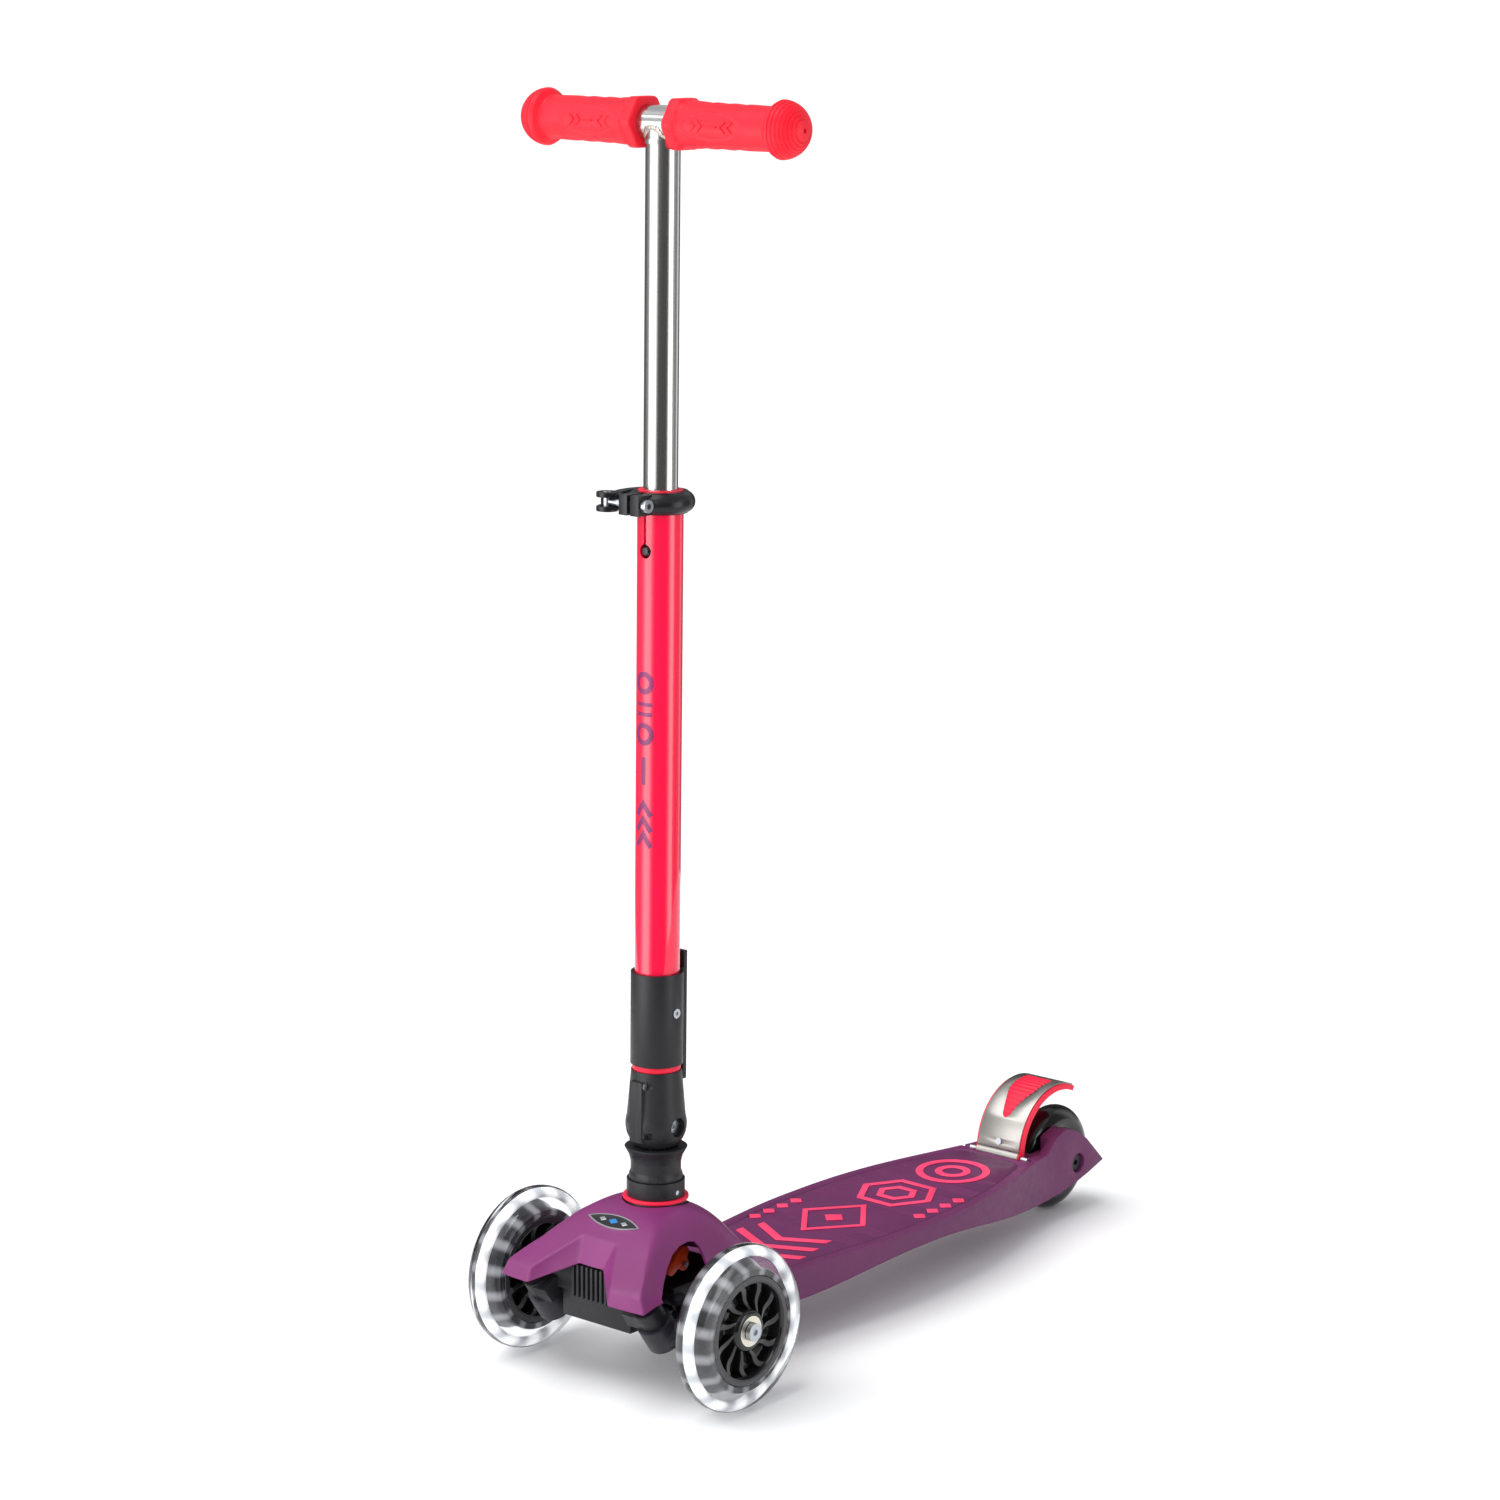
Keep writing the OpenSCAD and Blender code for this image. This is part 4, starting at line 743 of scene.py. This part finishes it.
# ---------------------------------------------------------------- stem tube
# The lower stem is an aluminium tube in gloss coral paint under a clear coat. Its
# printed purple marks are plain bars, rings and chevrons in one line up the front.
TUBE_R = 16
PRINT_LOW = 386
# Colour under a hard clear coat: a deep even red with sharp highlights and a faint orange-peel.
paint, paint_shader, paint_place = surface("gloss_coral_paint", Base_Color=linear("#F80040"), Roughness=0.38,
                                           Specular_IOR_Level=0.1, Coat_Weight=1.0, Coat_Roughness=0.03)
cloud = add(paint, "ShaderNodeMix", {6: linear("#F2003A"), 7: linear("#FC0244")},
            {0: noise(paint, paint_place, 60, 3)}, data_type="RGBA")
feed(paint, cloud.outputs[2], paint_shader, "Base Color")
peel = add(paint, "ShaderNodeBump", {"Strength": 0.15, "Distance": 0.04 * MM},
           {"Height": noise(paint, paint_place, 2.2, 1)})
feed(paint, peel.outputs["Normal"], paint_shader, "Coat Normal")
coat(frame["nodes"]["outer_tube"], paint)
# Screen ink lies flatter than the paint and takes the light softly.
print_ink = moulded("purple_screen_ink", "#82195C", "#741650", 0.4, 0.5, 0.01, coat=0.3)


def printed(name, path, width, steps):
    """An ink stroke along a path of (across, up) points, laid on the tube's front."""
    clear()
    bpy.ops.mesh.primitive_grid_add(x_subdivisions=steps, y_subdivisions=5, size=1)
    piece = bpy.context.object
    piece.name = name
    for v in piece.data.vertices:
        at = (v.co.x + 0.5) * (len(path) - 1)
        i = min(int(at + 1e-6), len(path) - 2)
        a, b = Vector(path[i]), Vector(path[i + 1])
        before = (Vector(path[i]) - Vector(path[i - 1])) if i else b - a
        run = (b - a).normalized()
        turn = run if at - i > 1e-3 or not i else (run + before.normalized()).normalized()
        stretch = 1 / max(0.5, turn.dot(run))
        point = a.lerp(b, at - i) + Vector((-turn.y, turn.x)) * v.co.y * width * stretch
        angle = point.x / TUBE_R
        v.co = Vector(((TUBE_R + 0.03) * math.sin(angle), -(TUBE_R + 0.03) * math.cos(angle), point.y)) * MM
    edit(piece, lambda: bpy.ops.mesh.remove_doubles(threshold=2e-6))
    if sum(f.normal.y for f in piece.data.polygons) > 0:
        piece.data.flip_normals()
    fit(smooth(settle(piece, stem)), "stem", "purple_deck", print_ink)


for i, low_edge in enumerate((PRINT_LOW, PRINT_LOW + 11, PRINT_LOW + 22)):
    printed(f"print_chevron_{i + 1}", [(-6.5, low_edge), (0, low_edge + 9), (6.5, low_edge)], 4, 24)
printed("print_bar", [(0, PRINT_LOW + 44), (0, PRINT_LOW + 64)], 4, 12)
for i, (middle, radius) in enumerate(((PRINT_LOW + 80, 6.2), (PRINT_LOW + 116, 6.2))):
    printed(f"print_ring_{i + 1}", [(x, y) for x, y in arc(0, middle, radius, 0, 360, 48)], 4, 96)
for i, up in enumerate((PRINT_LOW + 94, PRINT_LOW + 101)):
    printed(f"print_dash_{i + 1}", [(-7, up), (7, up)], 3, 14)

# ---------------------------------------------------------------- height clamp
# A cast black collar squeezes the tube's slit top on the handlebar tube. Its cam lever
# folds round the back, and a zinc socket bolt takes up the squeeze.
bushing = dressed("tube_bushing", "flanged_bushing", 0.3, 2)
fit(bushing, "stem", "pink_plastic", fender_pink, "tube_bushing")
# Powder coat is a touch glossier and rounder-edged than the nylon.
cast_black = moulded("black_powder_coated_casting", "#1D1D20", "#161618", 0.3, 1.0, 0.05)
collar_ring = dressed("clamp_collar", "clamp_ring", 0.8, 3, 28)
fit(collar_ring, "stem", "black_plastic", cast_black, "clamp_collar")
cam_lever = dressed("clamp_lever", "cam_lever", 0.9, 3, 28)
fit(cam_lever, "clamp", "black_plastic", cast_black, "clamp_lever")
for name in ("clamp_bolt", "cam_pin"):
    coat(frame["nodes"][name], zinc_steel)
button = dressed("snap_button", "snap_dome", 0.6, 3)
fit(button, "button", "black_plastic", hub_black, "snap_button")

# ---------------------------------------------------------------- handlebar
# The T is polished stainless tube: the crossbar is welded into the coped top of the
# upright. Polishing leaves fine lines round each tube and a haze that drifts along it.
steel, steel_shader, steel_place = surface("polished_stainless_tube", Metallic=1.0,
                                           Base_Color=linear("#C9C8C6"), Anisotropic=0.35)
lines_place = add(steel, "ShaderNodeMapping", {"Scale": (0.1, 0.1, 2.0)}, {"Vector": steel_place})
lines = noise(steel, lines_place.outputs["Vector"], 1.0, 3, 0.6)
lines_gloss = add(steel, "ShaderNodeMapRange", {"To Min": 0.1, "To Max": 0.2}, {"Value": lines})
feed(steel, lines_gloss.outputs["Result"], steel_shader, "Roughness")
coat(frame["nodes"]["bar_tube"], steel)
coat(frame["nodes"]["crossbar"], steel)

# The weld is a ring of overlapping ripples where the two tubes meet.
BAR_R = 12
grip_low, grip_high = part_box("grip_left")
BAR_HEIGHT = ((grip_low + grip_high).z / 2 / MM - fold[2] / MM) / stem_up.z + PIVOT_HEIGHT
RIPPLES = 34
weld, weld_shader, weld_place = surface("heat_tinted_weld", Metallic=1.0, Base_Color=linear("#9A9690"))
burn = add(weld, "ShaderNodeMix", {6: linear("#8A8378"), 7: linear("#C4C0BA")},
           {0: noise(weld, weld_place, 2.5, 4)}, data_type="RGBA")
feed(weld, burn.outputs[2], weld_shader, "Base Color")
rough_weld = add(weld, "ShaderNodeMapRange", {"To Min": 0.3, "To Max": 0.6},
                 {"Value": noise(weld, weld_place, 0.8, 3)})
feed(weld, rough_weld.outputs["Result"], weld_shader, "Roughness")
clear()
bpy.ops.mesh.primitive_torus_add(major_segments=RIPPLES * 8, minor_segments=12, major_radius=BAR_R * MM,
                                 minor_radius=1.5 * MM)
ripple = bpy.context.object
ripple.name = "weld_bead"
for v in ripple.data.vertices:
    angle = math.atan2(v.co.y, v.co.x)
    out = Vector((math.cos(angle), math.sin(angle), 0)) * BAR_R * MM
    v.co = out + (v.co - out) * (0.86 + 0.16 * abs(math.cos(RIPPLES * angle / 2)))
    v.co.z += (BAR_HEIGHT - math.sqrt((BAR_R + 0.3) ** 2 - min(BAR_R ** 2, (v.co.y / MM) ** 2))) * MM
fit(smooth(settle(ripple, stem), 60), "handlebar", "steel_tube", weld)

# ---------------------------------------------------------------- grips
# Soft coral rubber sleeves with hexagonal flanges, pushed on to the crossbar. Each has
# a ribbed ball end with a small vent, thumb scallops, and a sunk oval panel in front.
GRIP_START = 14
GRIP_END = (grip_high.x - grip_low.x) / MM + GRIP_START
END_BALL = 20
BALL_AT = GRIP_END - END_BALL
VENT_R = 1.5
VENT_DEEP = 12
PANEL_MID = 55
PANEL_HALF = 25.5
PANEL_DEEP = 0.55
PANEL_RIM = 0.35
SCALLOP_DEEP = 1.0
# Soft rubber looks powdery and saturated, with no sharp highlight.
grip_rubber = moulded("soft_coral_grip_rubber", "#F60C2E", "#E90824", 0.5, 0.5, 0.05)


def grip_outline():
    """The sleeve's section from the flange's bore round the outside to the vent."""
    points = [(BAR_R + 0.05, GRIP_START), (17.6, GRIP_START), (18.6, GRIP_START + 0.8),
              (18.8, GRIP_START + 4),
              (18.6, GRIP_START + 8.4), (17.4, GRIP_START + 10)]
    for i in range(49):
        along = i / 48
        z = GRIP_START + 12 + along * (BALL_AT - 17 - GRIP_START)
        swell = 0.5 * math.sin(math.pi * along) + 1.4 * (1 - along) ** 5
        points.append((15.0 + swell, z))
    for i in range(1, 9):
        u = i / 8
        points.append((15.0 + (END_BALL - 0.8 - 15.0) * (u * u * (3 - 2 * u)), BALL_AT - 5 + 5 * u))
    rings = 8
    for i in range(rings * 6 + 1):
        angle = math.radians(4 + 66 * i / (rings * 6))
        rib = -0.55 if i % 6 in (3, 4) else 0.0
        points.append(((END_BALL + rib) * math.cos(angle), BALL_AT + (END_BALL + rib) * math.sin(angle)))
    cap = [math.radians(a) for a in (73, 76, 79, 82, 84)]
    points += [((END_BALL - 0.1) * math.cos(a), BALL_AT + (END_BALL - 0.1) * math.sin(a)) for a in cap]
    points += [(VENT_R + 0.25, GRIP_END - 0.15), (VENT_R, GRIP_END - 0.5), (VENT_R, GRIP_END - VENT_DEEP),
               (0.01, GRIP_END - VENT_DEEP)]
    points += [(0.01, GRIP_END - 22), (BAR_R + 0.05, GRIP_END - 22)]
    return points + [points[0]]


def hexagonal(angle):
    """Distance factor from a circle to a hexagon's flat, with softened corners."""
    turn = (angle + math.pi / 6) % (math.pi / 3) - math.pi / 6
    return min(1 / math.cos(turn), 1.1) / 1.08


def shape_grip(piece):
    """Squares the flange to a hexagon, and sinks the panel and the thumb scallops."""
    for v in piece.data.vertices:
        radius = math.hypot(v.co.x, v.co.y) / MM
        z = v.co.z / MM
        if radius < BAR_R + 0.6 or z > BALL_AT - 1:
            continue
        angle = math.atan2(v.co.y, v.co.x)
        if z < GRIP_START + 11:
            radius *= hexagonal(angle)
        front = math.remainder(angle + math.pi / 2, 2 * math.pi) * radius
        reach = math.hypot((z - PANEL_MID) / PANEL_HALF, front / 9.6)
        radius -= PANEL_DEEP * max(0, min(1, (1.0 - reach) / 0.06))
        radius += PANEL_RIM * math.exp(-((reach - 1.06) / 0.045) ** 2)
        for up in (0, math.pi):
            edge = abs(math.remainder(angle - up, 2 * math.pi)) * radius
            for middle in (41, 56, 71):
                bowl = math.hypot((z - middle) / 6.2, edge / 4.6)
                radius -= SCALLOP_DEEP * max(0, 1 - bowl * bowl)
        v.co.x, v.co.y = radius * math.cos(angle) * MM, radius * math.sin(angle) * MM
    return piece


def along_crossbar(side):
    """From a grip drawn along Z, with its front at -Y, to its place on the crossbar."""
    return (stem @ Matrix.Translation((0, 0, BAR_HEIGHT * MM)) @ Matrix.Scale(side, 4, (1, 0, 0))
            @ Matrix.Rotation(math.pi / 2, 4, "Y"))


grip_master = shape_grip(turned("grip_master", grip_outline(), 144))
for side, word in ((1, "left"), (-1, "right")):
    grip = smooth(twin(grip_master, "grip_sleeve_" + word, along_crossbar(side)), 40)
    fit(grip, "handlebar", "pink_rubber", grip_rubber, "grip_" + word)
bpy.data.objects.remove(grip_master)

# Four raised chevrons and a bar stand in the sunk panel.
MARK_HALF = 0.62
MARK_FLOOR = 14.85
MARK_SWELL = 0.5
PANEL_MARKS = [[(37, -3.6), (41, 0), (37, 3.6)], [(43, -3.6), (47, 0), (43, 3.6)],
               [(52, 0), (60, 0)], [(73, -3.6), (69, 0), (73, 3.6)], [(67, -3.6), (63, 0), (67, 3.6)]]


def raised_mark(name, path, side):
    """A rounded bead along a path of (along, up) points on the grip's front."""
    fine = [Vector(a).lerp(Vector(b), t / 6) for a, b in zip(path, path[1:]) for t in range(6)]
    fine.append(Vector(path[-1]))
    points = []
    for along, up in fine:
        body = MARK_FLOOR + MARK_SWELL * math.sin(math.pi * (along - 26) / 62)
        points.append(Vector((up, -math.sqrt(body * body - up * up), along)) * MM)
    piece = settle(bead(name, points, MARK_HALF), along_crossbar(side))
    if side < 0:
        piece.data.flip_normals()
    return fit(smooth(piece, 60), "handlebar", "pink_rubber", grip_rubber)


for side, word in ((1, "left"), (-1, "right")):
    for i, path in enumerate(PANEL_MARKS):
        raised_mark(f"grip_mark_{word}_{i + 1}", path, side)

# ---------------------------------------------------------------- studio
# A plain near-white floor under a broad soft overhead light, with three softboxes.
# A dark wall with two bright strips, seen only in reflections, stripes the polished tubes.
FLOOR = 60
# Matt paint with a barely visible cloudiness.
floor_paint, floor_shader, floor_place = surface("matt_white_floor", Roughness=0.9)
soil = add(floor_paint, "ShaderNodeMix", {6: linear("#F4F4F4"), 7: linear("#F9F9F9")},
           {0: noise(floor_paint, floor_place, 400, 2)}, data_type="RGBA")
feed(floor_paint, soil.outputs[2], floor_shader, "Base Color")
clear()
bpy.ops.mesh.primitive_plane_add(size=FLOOR, location=(0, 0, -0.0004))
floor = settle(bpy.context.object)
floor.name = "studio_floor"
coat(floor, floor_paint)

bpy.context.scene.view_settings.view_transform = "Standard"
world = bpy.data.worlds.new("studio")
bpy.context.scene.world = world
world.use_nodes = True
world.node_tree.nodes["Background"].inputs["Color"].default_value = (0.95, 0.97, 1.0, 1)
world.node_tree.nodes["Background"].inputs["Strength"].default_value = 0.62


def softbox(name, at, aim, width, height, power):
    """A rectangular area light at a place, turned towards a point."""
    light = bpy.data.lights.new(name, "AREA")
    light.shape = "RECTANGLE"
    light.size, light.size_y, light.energy = width, height, power
    lamp = bpy.data.objects.new(name, light)
    bpy.context.scene.collection.objects.link(lamp)
    lamp.location = at
    lamp.rotation_euler = (Vector(aim) - Vector(at)).to_track_quat("-Z", "Y").to_euler()
    return lamp


overhead = bpy.data.objects.new("overhead", bpy.data.lights.new("overhead", "SUN"))
overhead.data.energy = 2.0
overhead.data.angle = math.radians(50)
overhead.rotation_euler = (math.radians(22), math.radians(-14), 0)
bpy.context.scene.collection.objects.link(overhead)
softbox("side_softbox", (-1.9, -1.3, 1.2), (0, 0, 0.45), 0.8, 2.0, 16)
softbox("front_softbox", (0.9, -2.9, 1.5), (0, 0, 0.3), 1.2, 1.2, 22)
softbox("rim_softbox", (2.2, 1.2, 1.4), (0, 0, 0.4), 0.8, 2.0, 4)


WALL_R = 1.25
WALL_TOP = 1.05
WALL_STRENGTH = 5.0
# (bearing from straight ahead in degrees, share of the wall's full brightness there)
WALL_LIGHT = ((-180, 0.02), (-140, 0.02), (-80, 0.03), (-48, 0.08), (-34, 0.5), (-26, 1.0), (-6, 1.0),
              (4, 0.25), (14, 0.02), (70, 0.02), (80, 0.3), (88, 0.9), (101, 0.9), (110, 0.15),
              (120, 0.06), (150, 0.06), (162, 0.25), (176, 0.1))
wall_light = bpy.data.materials.new("softbox_wall")
wall_light.use_nodes = True
wall_light.node_tree.nodes.clear()
wall_place = add(wall_light, "ShaderNodeTexCoord").outputs["Object"]
parts = add(wall_light, "ShaderNodeSeparateXYZ", links={0: wall_place})
ahead = add(wall_light, "ShaderNodeMath", {1: -1.0}, {0: parts.outputs["Y"]}, operation="MULTIPLY")
bearing = add(wall_light, "ShaderNodeMath", links={0: parts.outputs["X"], 1: ahead.outputs[0]},
              operation="ARCTAN2")
around = add(wall_light, "ShaderNodeMapRange", {"From Min": -math.pi, "From Max": math.pi},
             {"Value": bearing.outputs[0]})
ramp = add(wall_light, "ShaderNodeValToRGB", links={"Fac": around.outputs["Result"]})
while len(ramp.color_ramp.elements) < len(WALL_LIGHT):
    ramp.color_ramp.elements.new(0.5)
for element, (degrees, level) in zip(ramp.color_ramp.elements, WALL_LIGHT):
    element.position = (degrees + 180) / 360
    element.color = (level, level, level, 1)
glow = add(wall_light, "ShaderNodeEmission", {"Strength": WALL_STRENGTH}, {"Color": ramp.outputs["Color"]})
add(wall_light, "ShaderNodeOutputMaterial", links={"Surface": glow.outputs["Emission"]})
clear()
bpy.ops.mesh.primitive_cylinder_add(vertices=96, radius=WALL_R, depth=WALL_TOP, end_fill_type="NOTHING",
                                    location=(0, 0, WALL_TOP / 2 - 0.01))
wall = settle(bpy.context.object)
wall.name = "softbox_wall"
coat(wall, wall_light)
wall.visible_camera = wall.visible_diffuse = wall.visible_shadow = wall.visible_transmission = False

camera = bpy.data.cameras.new("studio_camera")
camera.lens = 100
view = bpy.data.objects.new("studio_camera", camera)
bpy.context.scene.collection.objects.link(view)
view.location = spot(1885.9, -2086.9, 1072.4)
view.rotation_euler = (math.radians(90 - 12.336), 0, math.radians(40.404))
bpy.context.scene.camera = view
